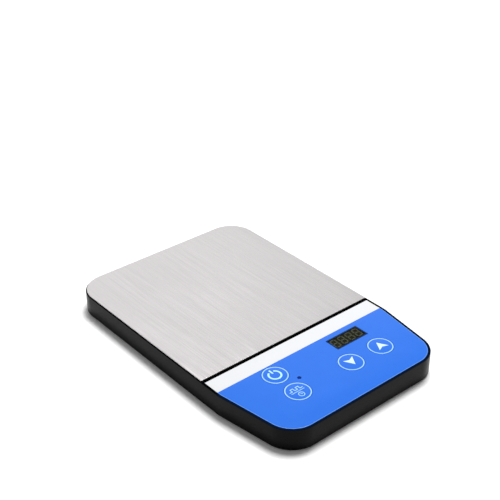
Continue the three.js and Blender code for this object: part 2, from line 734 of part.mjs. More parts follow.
// A small screw that goes down through the board into its post.
function boardScrew([x, y]) {
  const headTop = BOARD_TOP_Z + BOARD_SCREW_HEAD_HEIGHT;
  const screw = turned(
    x,
    y,
    [
      [0, BOARD_Z - BOARD_SCREW_DEPTH],
      [BOARD_SCREW_RADIUS, BOARD_Z - BOARD_SCREW_DEPTH],
      [BOARD_SCREW_RADIUS, BOARD_TOP_Z],
      [BOARD_SCREW_HEAD, BOARD_TOP_Z],
      [BOARD_SCREW_HEAD, headTop],
      [0, headTop],
    ],
    SMALL_FACETS,
  );
  return cut(screw, crossRecess(x, y, BOARD_SCREW_HEAD, CROSS_WIDTH, headTop - CROSS_DEPTH, headTop + PAST));
}

function controlBoard() {
  const board = box(BOARD.x0, BOARD.x1, BOARD.y0, BOARD.y1, BOARD_Z, BOARD_TOP_Z);
  const holes = BOARD_SCREWS.map(([x, y]) =>
    disc(x, y, BOARD_SCREW_RADIUS + SCREW_CLEARANCE, BOARD_Z - PAST, BOARD_TOP_Z + PAST, SMALL_FACETS),
  );
  return cut(board, ...holes);
}

// The steel plate that closes the magnetic path under the coils.
function yokePlate() {
  const plate = slab(rectangle(YOKE, YOKE_CORNER), BASE_TOP_Z, YOKE_TOP_Z);
  const stakeHoles = STAKES.map(([x, y]) =>
    disc(x, y, STAKE_RADIUS + STAKE_FIT, BASE_TOP_Z - PAST, YOKE_TOP_Z + PAST, SMALL_FACETS),
  );
  const coreHoles = COILS.map(([x, y]) =>
    disc(x, y, CORE_SPIGOT_RADIUS + STAKE_FIT, BASE_TOP_Z - PAST, YOKE_TOP_Z + PAST, SMALL_FACETS),
  );
  return cut(plate, ...stakeHoles, ...coreHoles);
}

// A core stands on the yoke, with its spigot in the yoke's hole.
function coilCore([x, y]) {
  const top = REAR_CEILING_Z - CORE_TO_DECK;
  return join(
    disc(x, y, CORE_RADIUS, YOKE_TOP_Z, top),
    disc(x, y, CORE_SPIGOT_RADIUS, BASE_TOP_Z, YOKE_TOP_Z + CORE_RADIUS / 2, SMALL_FACETS),
  );
}

// A flanged spool round the core. Its profile is a closed loop that doesn't touch the axis.
function coilBobbin([x, y]) {
  const bore = CORE_RADIUS + BOBBIN_FIT;
  const tube = bore + BOBBIN_TUBE;
  const top = REAR_CEILING_Z - BOBBIN_TO_DECK;
  return turned(x, y, [
    [bore, YOKE_TOP_Z],
    [BOBBIN_RADIUS, YOKE_TOP_Z],
    [BOBBIN_RADIUS, YOKE_TOP_Z + BOBBIN_FLANGE],
    [tube, YOKE_TOP_Z + BOBBIN_FLANGE],
    [tube, top - BOBBIN_FLANGE],
    [BOBBIN_RADIUS, top - BOBBIN_FLANGE],
    [BOBBIN_RADIUS, top],
    [bore, top],
    [bore, YOKE_TOP_Z],
  ]);
}

function coilWinding([x, y]) {
  const inner = CORE_RADIUS + BOBBIN_FIT + BOBBIN_TUBE + WINDING_GAP;
  const outer = BOBBIN_RADIUS - WINDING_TO_RIM;
  const bottom = YOKE_TOP_Z + BOBBIN_FLANGE + WINDING_GAP;
  const top = REAR_CEILING_Z - BOBBIN_TO_DECK - BOBBIN_FLANGE - WINDING_GAP;
  return turned(x, y, [
    [inner, bottom],
    [outer, bottom],
    [outer, top],
    [inner, top],
    [inner, bottom],
  ]);
}

// The board that the coil ends are soldered to lies on the yoke's front apron.
function coilTerminalBoard() {
  return block(0, TERMINAL_Y + TERMINAL_LENGTH / 2, YOKE_TOP_Z, [
    TERMINAL_WIDTH,
    TERMINAL_LENGTH,
    TERMINAL_THICKNESS,
  ]);
}

// The inlet's body behind the wall and its nose through the wall, with the round socket.
function inletBody() {
  const body = box(
    INLET_X - INLET_WIDTH / 2,
    INLET_X + INLET_WIDTH / 2,
    INLET_BODY_FRONT_Y,
    INLET_BODY_REAR_Y,
    BASE_TOP_Z,
    BASE_TOP_Z + INLET_HEIGHT,
  );
  const nose = rod(INLET_X, INLET_Z, INLET_NOSE_RADIUS, INLET_BODY_REAR_Y - PAST, INLET_FACE_Y);
  const socket = rod(INLET_X, INLET_Z, SOCKET_RADIUS, INLET_FACE_Y - SOCKET_DEPTH, INLET_FACE_Y + PAST);
  const pinHoleStart = INLET_BODY_FRONT_Y - PAST;
  const pinHole = rod(INLET_X, INLET_Z, PIN_RADIUS + PIN_FIT, pinHoleStart, INLET_FACE_Y, SMALL_FACETS);
  return cut(join(body, nose), socket, pinHole);
}

function inletPin() {
  const tail = INLET_BODY_FRONT_Y - PIN_TAIL;
  return rod(INLET_X, INLET_Z, PIN_RADIUS, tail, INLET_FACE_Y - PIN_BELOW_FACE, SMALL_FACETS);
}

// A round lead that leaves one end level, comes down to the base plate, crosses over sideways
// and rises level into the other end. Both ends face along Y.
function lead({ from, to, radius }) {
  const low = BASE_TOP_Z + radius + LEAD_REST;
  const { lerp, smoothstep } = THREE.MathUtils;
  const points = Array.from({ length: LEAD_POINTS + 1 }, (_, i) => {
    const along = i / LEAD_POINTS;
    const down = smoothstep(along, 0, LEAD_RAMP_SHARE);
    const up = smoothstep(along, 1 - LEAD_RAMP_SHARE, 1);
    return new THREE.Vector3(
      lerp(from.x, to.x, smoothstep(along, LEAD_RAMP_SHARE, 1 - LEAD_RAMP_SHARE)),
      lerp(from.y, to.y, along),
      low + (from.z - low) * (1 - down) + (to.z - low) * up,
    );
  });
  const section = new THREE.Shape(
    Array.from({ length: LEAD_SIDES }, (_, i) => {
      const angle = (2 * Math.PI * i) / LEAD_SIDES;
      return new THREE.Vector2(radius * Math.cos(angle), radius * Math.sin(angle));
    }),
  );
  const extrudePath = new THREE.CatmullRomCurve3(points);
  return solid(new THREE.ExtrudeGeometry(section, { steps: LEAD_STEPS, extrudePath }));
}

// Where a lead meets the rear of a connector on the board.
function connectorEntry(x) {
  return { x, y: BOARD.y1 + LEAD_END_GAP, z: BOARD_TOP_Z + CONNECTOR_HEIGHT / 2 };
}

function powerLead() {
  const from = { x: INLET_X, y: INLET_BODY_FRONT_Y - PIN_TAIL - LEAD_END_GAP, z: INLET_Z };
  return lead({ from, to: connectorEntry(POWER_CONNECTOR_X), radius: POWER_LEAD_RADIUS });
}

function coilCable() {
  const level = BASE_TOP_Z + COIL_CABLE_RADIUS + LEAD_REST;
  const from = { x: 0, y: TERMINAL_Y - LEAD_END_GAP, z: level };
  return lead({ from, to: connectorEntry(COIL_CONNECTOR_X), radius: COIL_CABLE_RADIUS });
}

function connector(x, width) {
  return block(x, CONNECTOR_Y, BOARD_TOP_Z, [width, CONNECTOR_LENGTH, CONNECTOR_HEIGHT]);
}

function component(x, y, size) {
  return block(x, y, BOARD_TOP_Z, size);
}

function smoothingCapacitor() {
  return disc(CAPACITOR_X, DISPLAY_Y, CAPACITOR_RADIUS, BOARD_TOP_Z, BOARD_TOP_Z + CAPACITOR_HEIGHT);
}

// ---------------------------------------------------------------- assembly

place("casing", casing(), BLACK_PLASTIC);
place("base_plate", basePlate(), BLACK_PLASTIC);
place("plate_gasket", plateGasket(), BLACK_FOAM);
place("top_plate", topPlate(), BRUSHED_STEEL);
place("panel_overlay", panelOverlay(), PRINTED_FILM);
place("display_window", displayWindow(), SMOKED_WINDOW);

for (const key of KEYS) {
  place(`${key.name}_key`, keyCap(key), PRINTED_FILM);
  place(`${key.name}_plunger`, plunger(key), NYLON);
  place(`${key.name}_switch`, switchBody(key), SWITCH_GREY);
}

FEET.forEach((at, i) => place(`foot_${i + 1}`, foot(at), RUBBER));
BOSSES.forEach((at, i) => place(`base_screw_${i + 1}`, baseScrew(at), SCREW_STEEL));
BOARD_SCREWS.forEach((at, i) => place(`board_screw_${i + 1}`, boardScrew(at), SCREW_STEEL));

place("control_board", controlBoard(), BOARD_GREEN);
place("display_module", displayModule(), CHIP_BLACK);
place("status_led", statusLed(), LED_DARK);
place("power_connector", connector(POWER_CONNECTOR_X, POWER_CONNECTOR_WIDTH), NYLON);
place("coil_connector", connector(COIL_CONNECTOR_X, COIL_CONNECTOR_WIDTH), NYLON);

place("microcontroller", component(CONTROLLER_X, BETWEEN_ROWS_Y, CONTROLLER_SIZE), CHIP_BLACK);
place("power_inductor", component(INDUCTOR_X, BETWEEN_ROWS_Y, INDUCTOR_SIZE), CHIP_BLACK);
DRIVERS_X.forEach((x, i) => {
  place(`driver_chip_${i + 1}`, component(x, DRIVER_Y, DRIVER_SIZE), CHIP_BLACK);
});
place("smoothing_capacitor", smoothingCapacitor(), CAPACITOR_METAL);

place("yoke_plate", yokePlate(), SOFT_IRON);
COILS.forEach((at, i) => {
  place(`coil_core_${i + 1}`, coilCore(at), SOFT_IRON);
  place(`coil_bobbin_${i + 1}`, coilBobbin(at), NYLON);
  place(`coil_winding_${i + 1}`, coilWinding(at), COPPER);
});
place("coil_terminal_board", coilTerminalBoard(), BOARD_GREEN);
place("inlet_body", inletBody(), CHIP_BLACK);
place("inlet_pin", inletPin(), BRASS);
place("power_lead", powerLead(), LEAD_BLACK);
place("coil_cable", coilCable(), LEAD_BLACK);

export default group;
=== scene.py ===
import math

import bmesh
import bpy
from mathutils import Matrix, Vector


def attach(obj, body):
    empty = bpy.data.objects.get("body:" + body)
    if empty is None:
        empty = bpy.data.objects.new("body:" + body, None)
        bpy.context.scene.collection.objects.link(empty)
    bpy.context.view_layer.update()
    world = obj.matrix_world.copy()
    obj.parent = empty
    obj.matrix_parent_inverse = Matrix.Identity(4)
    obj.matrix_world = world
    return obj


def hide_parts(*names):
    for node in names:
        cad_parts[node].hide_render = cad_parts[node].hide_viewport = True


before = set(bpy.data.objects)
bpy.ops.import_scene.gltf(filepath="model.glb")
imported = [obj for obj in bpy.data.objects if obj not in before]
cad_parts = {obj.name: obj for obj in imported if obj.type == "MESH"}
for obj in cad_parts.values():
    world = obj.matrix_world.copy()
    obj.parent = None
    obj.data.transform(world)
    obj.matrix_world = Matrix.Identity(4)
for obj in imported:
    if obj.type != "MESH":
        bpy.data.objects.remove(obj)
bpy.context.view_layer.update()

MM = 0.001

# ---------------------------------------------------------------- dimensions

# Casing, as in the solid model.
CASING_LENGTH = 180.2
CASING_WIDTH = 120.5
TAPER_LENGTH = 47.4
TAPER = math.radians(8.6)
REAR_CORNER = 16.4
FRONT_CORNER = 16.4
WALL = 2.2
BOTTOM_ROUND = 0.3
TOP_ROUND = 0.4
BASE_Z = 0.6
BASE_TOP_Z = 2.2
BOARD_TOP_Z = 4.4
LIP_Z = 13
REAR_CEILING_Z = 11.6
PANEL_CEILING_Z = 10.9
LIP_WIDTH = 1.45
LIP_CHAMFER = 0.08
GROOVE_BOTTOM_Z = 12.2
PANEL_REAR_Y = -29.75
PLATE_FRONT_Y = -27.95
DECK_STEP_Y = -25.75

FRONT = -CASING_LENGTH / 2
REAR = CASING_LENGTH / 2
SIDE = CASING_WIDTH / 2
FRONT_SIDE = SIDE - TAPER_LENGTH * math.tan(TAPER)

# Plate and film.
PLATE_MARGIN = 0.7
PLATE_CORNER = 0.6
PLATE_BOTTOM_Z = 13.1
PLATE_TOP_Z = 13.6
PLATE_EDGE = 0.08
FILM_BOTTOM_Z = 12.5
FILM_TOP_Z = 12.9
FILM_CLEARANCE = 0.1
FILM_EDGE = 0.06
STRIPE_Y = -40.15

# Keys, display and light.
KEY_RADIUS = 7.2
KEY_HOLE = 7.35
KEY_FLANGE = 8.25
KEY_SHELL = 1.1
KEY_STEM = 2
KEY_EDGE = 0.08
KEY_FLANGE_Z = 10.1
PLUNGER_TOP_Z = 8.7
KEYS = {
    "power": (-27.1, -48.2),
    "pulse": (-27.1, -65.55),
    "down": (10.6, -65.55),
    "up": (32.6, -65.55),
}
WINDOW = (24.4, -48.5, 22.5, 9.6)
WINDOW_BORDER = 0.75
WINDOW_GAP = 0.1
WINDOW_LEDGE = 0.5
MODULE_TOP_Z = 12.4
LED = (-19.1, -57.8)
LED_RADIUS = 1
LED_HOLE = 1.12
LED_TOP_Z = 12.85
LED_DOME = 0.4
LED_BASE_RADIUS = 1.6
LED_BASE_HEIGHT = 1.2

# Underside and rear.
BOSS_RADIUS = 3
BOSS_TO_WALL = 1
PILOT_RADIUS = 1.25
PILOT_TOP_Z = 8.9
SCREW_RADIUS = 1.1
SCREW_TIP_Z = 8.4
SCREW_SEAT_Z = 1.6
SCREW_HEAD_RADIUS = 2.2
SCREW_HEAD_HEIGHT = 0.85
SCREW_HEAD_DOME = (0.6, 0.35)
CROSS_RECESS = 2.4
CROSS_WIDTH = 0.55
CROSS_DEPTH = 0.5
FOOT_RADIUS = 6
FOOT_TOP_Z = 1.4
FOOT_ROUND = 0.4
FOOT_GROOVE_RADIUS = 4.9
FOOT_GROOVE_WIDTH = 0.6
FOOT_GROOVE_FLOOR = 0.2
FOOT_GROOVE_DEPTH = 0.12
FOOT_FROM_SCREW = 13
LABEL = (0, 30.725, 49, 29)
LABEL_CORNER = 1.5
LABEL_Z = (0.72, 0.9)
LABEL_EDGE = 0.04
INLET_X = 38
INLET_Z = 6.4
INLET_HOLE = 4.15
INLET_NOSE_RADIUS = 4
INLET_FACE_DEPTH = 0.3
INLET_WIDTH = 9
INLET_DEPTH = 11
INLET_TOP_Z = 10.6
INLET_EDGE = 0.2
INLET_FACE_Y = REAR - INLET_FACE_DEPTH
INLET_BODY_REAR_Y = 87.6
SOCKET_RADIUS = 3.1
SOCKET_DEPTH = 9.5
PIN_HOLE_RADIUS = 1.15

# How finely curves are divided, and how far a cutting tool reaches past what it cuts.
ARC_STEP = math.radians(3)
KEY_SEGMENTS = 96
SCREW_SEGMENTS = 44
ROUND_SEGMENTS = 48
EDGE_STEPS = 4
WALL_EDGE_STEPS = 8
DOME_STEPS = 8
CLEAR = 1

# An edge stays sharp where its faces turn by more than this many degrees.
SHARP = 35
SHARP_ON_CASING = 28
SHARP_ON_PLATE = 50


# ---------------------------------------------------------------- outlines


def unit(angle):
    return Vector((math.cos(angle), math.sin(angle)))


CASING_CORNERS = [
    Vector((SIDE, REAR)),
    Vector((-SIDE, REAR)),
    Vector((-SIDE, FRONT + TAPER_LENGTH)),
    Vector((-FRONT_SIDE, FRONT)),
    Vector((FRONT_SIDE, FRONT)),
    Vector((SIDE, FRONT + TAPER_LENGTH)),
]
CASING_RADII = [REAR_CORNER, REAR_CORNER, 0, FRONT_CORNER, FRONT_CORNER, 0]


def cross(a, b):
    return a.x * b.y - a.y * b.x


def inset(corners, distances):
    """Moves each edge of an anticlockwise polygon inwards by its own distance."""
    edges = []
    for i, corner in enumerate(corners):
        along = (corners[(i + 1) % len(corners)] - corner).normalized()
        edges.append((corner + distances[i] * Vector((-along.y, along.x)), along))
    moved = []
    for i, (point, along) in enumerate(edges):
        last_point, last_along = edges[i - 1]
        reach = cross(point - last_point, along) / cross(last_along, along)
        moved.append(last_point + reach * last_along)
    return moved


def corner_centre(corners, i, radius):
    """A rounded corner's centre, the direction from it to the corner, and half the turn."""
    corner = corners[i]
    to_last = (corners[i - 1] - corner).normalized()
    to_next = (corners[(i + 1) % len(corners)] - corner).normalized()
    half = math.acos(to_last.dot(to_next)) / 2
    inwards = (to_last + to_next).normalized()
    return corner + inwards * radius / math.sin(half), -inwards, math.pi / 2 - half


def rounded(corners, radii):
    """A closed outline with an arc at each corner that has a radius."""
    points = []
    for i, corner in enumerate(corners):
        if not radii[i]:
            points.append(corner.copy())
            continue
        centre, outwards, half = corner_centre(corners, i, radii[i])
        steps = max(2, round(2 * half / ARC_STEP))
        middle = math.atan2(outwards.y, outwards.x)
        for step in range(steps + 1):
            points.append(centre + radii[i] * unit(middle - half + 2 * half * step / steps))
    return points


def casing_outline(distance):
    radii = [max(0, radius - distance) for radius in CASING_RADII]
    return rounded(inset(CASING_CORNERS, [distance] * len(CASING_CORNERS)), radii)


def outline_beyond(y, side, margin, cut_margin, cut_corner):
    """The casing's outline behind (side 1) or in front of (side -1) a line, moved inwards."""
    stations = []
    for i, corner in enumerate(CASING_CORNERS):
        following = CASING_CORNERS[(i + 1) % len(CASING_CORNERS)]
        kept = side * (corner.y - y) > 0
        if kept:
            stations.append((corner, max(0, CASING_RADII[i] - margin), margin))
        if kept != (side * (following.y - y) > 0):
            crossing = corner.lerp(following, (y - corner.y) / (following.y - corner.y))
            stations.append((crossing, cut_corner, cut_margin if kept else margin))
    corners = inset([at[0] for at in stations], [at[2] for at in stations])
    return rounded(corners, [at[1] for at in stations])


def plate_outline(margin, cut_margin):
    return outline_beyond(PLATE_FRONT_Y, 1, margin, cut_margin, PLATE_CORNER)


def panel_outline(margin, cut_margin):
    return outline_beyond(PANEL_REAR_Y, -1, margin, cut_margin, 0)


def circle(x, y, radius, segments=ROUND_SEGMENTS):
    return [Vector((x, y)) + radius * unit(2 * math.pi * i / segments) for i in range(segments)]


def rectangle(x, y, width, length, radius=0):
    corners = [
        Vector((x + width / 2, y + length / 2)),
        Vector((x - width / 2, y + length / 2)),
        Vector((x - width / 2, y - length / 2)),
        Vector((x + width / 2, y - length / 2)),
    ]
    return rounded(corners, [radius] * len(corners))


# ---------------------------------------------------------------- meshes


def new_object(name, bm):
    """Turns a bmesh in millimetres into an object in metres."""
    bmesh.ops.scale(bm, vec=(MM, MM, MM), verts=bm.verts)
    mesh = bpy.data.meshes.new(name)
    bm.to_mesh(mesh)
    bm.free()
    return link(name, mesh)


def link(name, mesh):
    obj = bpy.data.objects.new(name, mesh)
    bpy.context.scene.collection.objects.link(obj)
    return obj


def loft(name, rings):
    """A closed solid through rings of equally many points, each given as (points, level)."""
    bm = bmesh.new()
    rows = [[bm.verts.new((p.x, p.y, z)) for p in points] for points, z in rings]
    for low, high in zip(rows, rows[1:]):
        for i in range(len(low)):
            j = (i + 1) % len(low)
            bm.faces.new((low[i], low[j], high[j], high[i]))
    bm.faces.new(rows[0][::-1])
    bm.faces.new(rows[-1])
    return new_object(name, bm)


def prism(name, outline, z0, z1):
    return loft(name, [(outline, z0), (outline, z1)])


def quarter_turn(steps=EDGE_STEPS):
    """Angles from zero to a right angle."""
    return [math.pi / 2 * i / steps for i in range(steps + 1)]


def arc_profile(z0, z1, bottom, top, steps):
    """[(inset, level)] up a wall whose bottom and top edges are rounded by these radii."""
    turns = quarter_turn(steps)
    low = [(bottom * (1 - math.sin(t)), z0 + bottom * (1 - math.cos(t))) for t in turns]
    high = [(top * (1 - math.cos(t)), z1 - top * (1 - math.sin(t))) for t in turns]
    return (low if bottom else [(0, z0)]) + (high if top else [(0, z1)])


def slab(name, outline, z0, z1, bottom=0, top=0, steps=EDGE_STEPS):
    """A slab with rounded edges. outline is a function of the distance moved inwards."""
    return loft(name, [(outline(d), z) for d, z in arc_profile(z0, z1, bottom, top, steps)])


def turned(name, x, y, profile, segments=KEY_SEGMENTS):
    """A piece turned about an upright axis, from [(radius, level)] that starts and ends on it."""
    bm = bmesh.new()
    ends = [bm.verts.new((x, y, profile[0][1])), bm.verts.new((x, y, profile[-1][1]))]
    rows = [
        [bm.verts.new((*p, level)) for p in circle(x, y, radius, segments)]
        for radius, level in profile[1:-1]
    ]
    for i in range(segments):
        j = (i + 1) % segments
        for low, high in zip(rows, rows[1:]):
            bm.faces.new((low[i], low[j], high[j], high[i]))
        bm.faces.new((ends[0], rows[0][j], rows[0][i]))
        bm.faces.new((ends[1], rows[-1][i], rows[-1][j]))
    return new_object(name, bm)


def applied(obj):
    """An object with its mesh replaced by the result of its modifiers."""
    evaluated = obj.evaluated_get(bpy.context.evaluated_depsgraph_get())
    mesh = bpy.data.meshes.new_from_object(evaluated)
    old = obj.data
    obj.modifiers.clear()
    obj.data = mesh
    mesh.name = old.name
    bpy.data.meshes.remove(old)
    return obj


def combine(obj, tools, operation):
    """Joins tools to an object or cuts them from it, one by one, and removes them."""
    for tool in tools:
        step = obj.modifiers.new("step", "BOOLEAN")
        step.operation = operation
        step.solver = "EXACT"
        step.object = tool
        applied(obj)
        mesh = tool.data
        bpy.data.objects.remove(tool)
        bpy.data.meshes.remove(mesh)
    return obj


def cut(obj, *tools):
    return combine(obj, tools, "DIFFERENCE")


def join(obj, *tools):
    return combine(obj, tools, "UNION")


def tool_disc(x, y, radius, z0, z1, segments=ROUND_SEGMENTS):
    return prism("tool", circle(x, y, radius, segments), z0, z1)


def tool_rod(x, z, radius, y0, y1, segments=ROUND_SEGMENTS):
    """A cylinder that lies along Y."""
    bm = bmesh.new()
    rows = [
        [bm.verts.new((p.x, y, p.y)) for p in circle(x, z, radius, segments)] for y in (y1, y0)
    ]
    for i in range(segments):
        j = (i + 1) % segments
        bm.faces.new((rows[0][i], rows[0][j], rows[1][j], rows[1][i]))
    bm.faces.new(rows[0][::-1])
    bm.faces.new(rows[1])
    return new_object("tool", bm)


# ---------------------------------------------------------------- materials


# Patches, blotches, grain and other noise are sized in millimetres.

# The numbers of a Mix node's sockets for colours.
MIX_FIRST = 6
MIX_SECOND = 7
MIX_RESULT = 2


class Surface:
    """A node material under construction, with texture coordinates in metres."""

    def __init__(self, name, color, roughness, metallic=0.0, **sockets):
        self.material = bpy.data.materials.new(name)
        self.material.use_nodes = True
        self.nodes = self.material.node_tree.nodes
        self.links = self.material.node_tree.links
        self.shader = self.nodes["Principled BSDF"]
        self.set("Base Color", (*color, 1))
        self.set("Roughness", roughness)
        self.set("Metallic", metallic)
        for socket, value in sockets.items():
            self.set(socket.replace("_", " "), value)
        coordinates = self.nodes.new("ShaderNodeTexCoord")
        self.place = coordinates.outputs["Object"]
        self.facing = coordinates.outputs["Normal"]

    def set(self, socket, value):
        self.shader.inputs[socket].default_value = value

    def feed(self, output, socket):
        self.links.new(output, self.shader.inputs[socket])

    def node(self, kind, inputs=None, **settings):
        node = self.nodes.new(kind)
        for key, value in settings.items():
            setattr(node, key, value)
        for key, value in (inputs or {}).items():
            if isinstance(value, bpy.types.NodeSocket):
                self.links.new(value, node.inputs[key])
            else:
                node.inputs[key].default_value = value
        return node

    def noise(self, size_mm, detail=2.0):
        inputs = {"Vector": self.place, "Scale": 1 / (size_mm * MM), "Detail": detail}
        return self.node("ShaderNodeTexNoise", inputs).outputs["Fac"]

    def streaks(self, per_metre, detail, roughness=0.5):
        """Noise with its own number of spots per metre along each axis."""
        place = self.node(
            "ShaderNodeVectorMath", {0: self.place, 1: per_metre}, operation="MULTIPLY"
        ).outputs[0]
        inputs = {"Vector": place, "Scale": 1, "Detail": detail, "Roughness": roughness}
        return self.node("ShaderNodeTexNoise", inputs).outputs["Fac"]

    def spread(self, value, low, high, from_low=0.3, from_high=0.7):
        """Maps a value onto low to high, by default from the range that noise mostly fills."""
        inputs = {
            "Value": value,
            "From Min": from_low,
            "From Max": from_high,
            "To Min": low,
            "To Max": high,
        }
        return self.node("ShaderNodeMapRange", inputs).outputs["Result"]

    def mix(self, factor, first, second):
        """A colour between two, each given as a triple or as a node's output."""
        pair = [c if isinstance(c, bpy.types.NodeSocket) else (*c, 1) for c in (first, second)]
        inputs = {"Factor": factor, MIX_FIRST: pair[0], MIX_SECOND: pair[1]}
        return self.node("ShaderNodeMix", inputs, data_type="RGBA").outputs[MIX_RESULT]

    def add(self, first, second):
        return self.node("ShaderNodeMath", {0: first, 1: second}, operation="ADD").outputs[0]

    def bump(self, height, distance_mm, strength=1.0):
        inputs = {"Height": height, "Distance": distance_mm * MM, "Strength": strength}
        self.feed(self.node("ShaderNodeBump", inputs).outputs["Normal"], "Normal")

    def axis(self, name):
        return self.node("ShaderNodeSeparateXYZ", {0: self.place}).outputs[name]

    def normal(self, name):
        return self.node("ShaderNodeSeparateXYZ", {0: self.facing}).outputs[name]


TONE_PATCH = 18
GRAIN_GLOSS = (-0.05, 0.07)  # changes of the roughness, from the grain's pits to its peaks
PAINTED_SHADE_NORMALS = (0.35, 0.75)  # the normal's Z over which a face takes on painted shade
SHADE_TINT_FADE = 3


def moulded(name, dark, light, roughness, grain_mm=0.35, depth_mm=0.02, rim=None, **sockets):
    """Moulded plastic or rubber: fine spark-eroded grain, faint tone and gloss changes.

    Faces that look upwards can be given two colours of painted shade in place of their own, the
    second one beside the blue film, and no sheen: they stand for the shade on the lip and in the
    groove."""
    surface = Surface(name, dark, roughness, **sockets)
    broad = surface.noise(TONE_PATCH, 3)
    tone = surface.mix(surface.spread(broad, 0, 1), dark, light)
    # Painted shade: upward faces, the lip and the groove floor, are darkened and lose their sheen.
    if rim:
        upwards = surface.spread(surface.normal("Z"), 0, 1, *PAINTED_SHADE_NORMALS)
        fade = (STRIPE_Y - SHADE_TINT_FADE) * MM, STRIPE_Y * MM
        beside_film = surface.spread(surface.axis("Y"), 1, 0, *fade)
        tone = surface.mix(upwards, tone, surface.mix(beside_film, *rim))
        sheen = surface.spread(upwards, sockets["Specular_IOR_Level"], 0, 0, 1)
        surface.feed(sheen, "Specular IOR Level")
    surface.feed(tone, "Base Color")
    grain = surface.noise(grain_mm, 3)
    gloss = [roughness + change for change in GRAIN_GLOSS]
    surface.feed(surface.spread(grain, *gloss), "Roughness")
    surface.bump(grain, depth_mm)
    return surface.material


STEEL = (0.605, 0.582, 0.587)
STEEL_ROUGHNESS = 0.19
STEEL_IN_STREAKS = 0.88
FINE_STREAKS = (9000, 130, 2000)  # per metre along each axis
COARSE_STREAKS = (1500, 22, 500)
STREAK_GLOSS = (-0.03, 0.04)
SMUDGE = 35
SMUDGE_GLOSS = (-0.03, 0.03)
EDGE_DULLNESS = 0.5
EDGE_NORMALS = (0.9, 0.99)


def brushed_steel(name, color, roughness):
    """Sheet brushed along Y: fine long streaks, some deeper ones, faint smudges, dull cut edges."""
    surface = Surface(name, color, roughness, 1.0)
    fine = surface.streaks(FINE_STREAKS, 3, 0.6)
    coarse = surface.streaks(COARSE_STREAKS, 2)
    smudge = surface.noise(SMUDGE)
    streaks = surface.add(fine, surface.spread(coarse, -0.2, 0.2))
    tone = surface.spread(streaks, 0, 1, 0.2, 0.8)
    darker = tuple(c * STEEL_IN_STREAKS for c in color)
    surface.feed(surface.mix(tone, darker, color), "Base Color")
    wiped = surface.spread(smudge, *SMUDGE_GLOSS)
    gloss = surface.spread(streaks, *[roughness + change for change in STREAK_GLOSS])
    edge = surface.spread(surface.normal("Z"), EDGE_DULLNESS, 0, *EDGE_NORMALS)
    surface.feed(surface.add(surface.add(gloss, wiped), edge), "Roughness")
    surface.bump(streaks, 0.001, 0.3)
    return surface.material


WHITE_PRINT = (0.655, 0.668, 0.685)
WHITE_BLOTCH = (0.645, 0.658, 0.675)
BLUE_PRINT = (0.006, 0.131, 0.65)
BLUE_BLOTCH = (0.007, 0.136, 0.665)
BLOTCH = 9
FILM_ROUGHNESS = (0.1, 0.17)
FILM_MATT = 0.12


def printed_film(name, striped):
    """Screen-printed polyester film: white behind the line, blue in front of it."""
    surface = Surface(name, BLUE_PRINT, FILM_ROUGHNESS[0], Specular_IOR_Level=0.3)
    blotch = surface.noise(BLOTCH, 3)
    color = surface.mix(surface.spread(blotch, 0, 1), BLUE_PRINT, BLUE_BLOTCH)
    if striped:
        behind = surface.node(
            "ShaderNodeMath", {0: surface.axis("Y"), 1: STRIPE_Y * MM}, operation="GREATER_THAN"
        ).outputs[0]
        white = surface.mix(surface.spread(blotch, 0, 1), WHITE_PRINT, WHITE_BLOTCH)
        color = surface.mix(behind, color, white)
    surface.feed(color, "Base Color")
    matt = surface.noise(FILM_MATT)
    surface.feed(surface.spread(matt, *FILM_ROUGHNESS), "Roughness")
    surface.bump(matt, 0.0006, 0.3)
    return surface.material


WORN_INK = 0.93
SPECKLE = 0.15


def ink(name, color, sheen=0.3):
    """Matt print or a small tinted part, with fine speckle."""
    surface = Surface(name, color, 0.4, Specular_IOR_Level=sheen)
    speckle = surface.noise(SPECKLE)
    worn = tuple(c * WORN_INK for c in color)
    surface.feed(surface.mix(surface.spread(speckle, 0, 1), worn, color), "Base Color")
    surface.bump(speckle, 0.003, 0.4)
    return surface.material


HAZE = 3
HAZE_ROUGHNESS = (0.07, 0.16)


def smoked_glass(name):
    """A dark clear window with a faint haze."""
    surface = Surface(name, (0.01, 0.01, 0.003), 0.1, Alpha=0.4, Specular_IOR_Level=0.03)
    surface.feed(surface.spread(surface.noise(HAZE), *HAZE_ROUGHNESS), "Roughness")
    return surface.material


TARNISH = 2.5
TARNISH_SHADE = 0.8
TARNISH_GLOSS = (-0.08, 0.12)
TURNING_MARKS = 0.2


def bare_metal(name, color, roughness):
    """Plain metal with fine turning or rolling marks and slight tarnish."""
    surface = Surface(name, color, roughness, 1.0)
    tarnish = surface.noise(TARNISH, 4)
    dull = tuple(c * TARNISH_SHADE for c in color)
    surface.feed(surface.mix(surface.spread(tarnish, 0, 1), dull, color), "Base Color")
    gloss = [roughness + change for change in TARNISH_GLOSS]
    surface.feed(surface.spread(tarnish, *gloss), "Roughness")
    surface.bump(surface.noise(TURNING_MARKS), 0.01, 0.5)
    return surface.material


WIRE_WAVES = 900  # per metre
WIRE_CROWN = (0.5, 0.17, 0.05)
WIRE_GROOVE_SHADE = (0.25, 0.07, 0.02)


def enamelled_wire(name):
    """Layers of round wire, seen as fine level ridges with painted shade between them."""
    surface = Surface(name, WIRE_CROWN, 0.3, 0.9)
    ridges = surface.node(
        "ShaderNodeTexWave",
        {"Vector": surface.place, "Scale": WIRE_WAVES, "Distortion": 0.2},
        bands_direction="Z",
    ).outputs["Fac"]
    # Painted shade: the grooves between turns are darker than the crowns.
    surface.feed(surface.mix(ridges, WIRE_GROOVE_SHADE, WIRE_CROWN), "Base Color")
    surface.bump(ridges, 0.1)
    return surface.material


BOARD_CELLS = 260  # per metre
MASK_GREEN = (0.012, 0.11, 0.04)
MASK_GAP = (0.006, 0.06, 0.022)


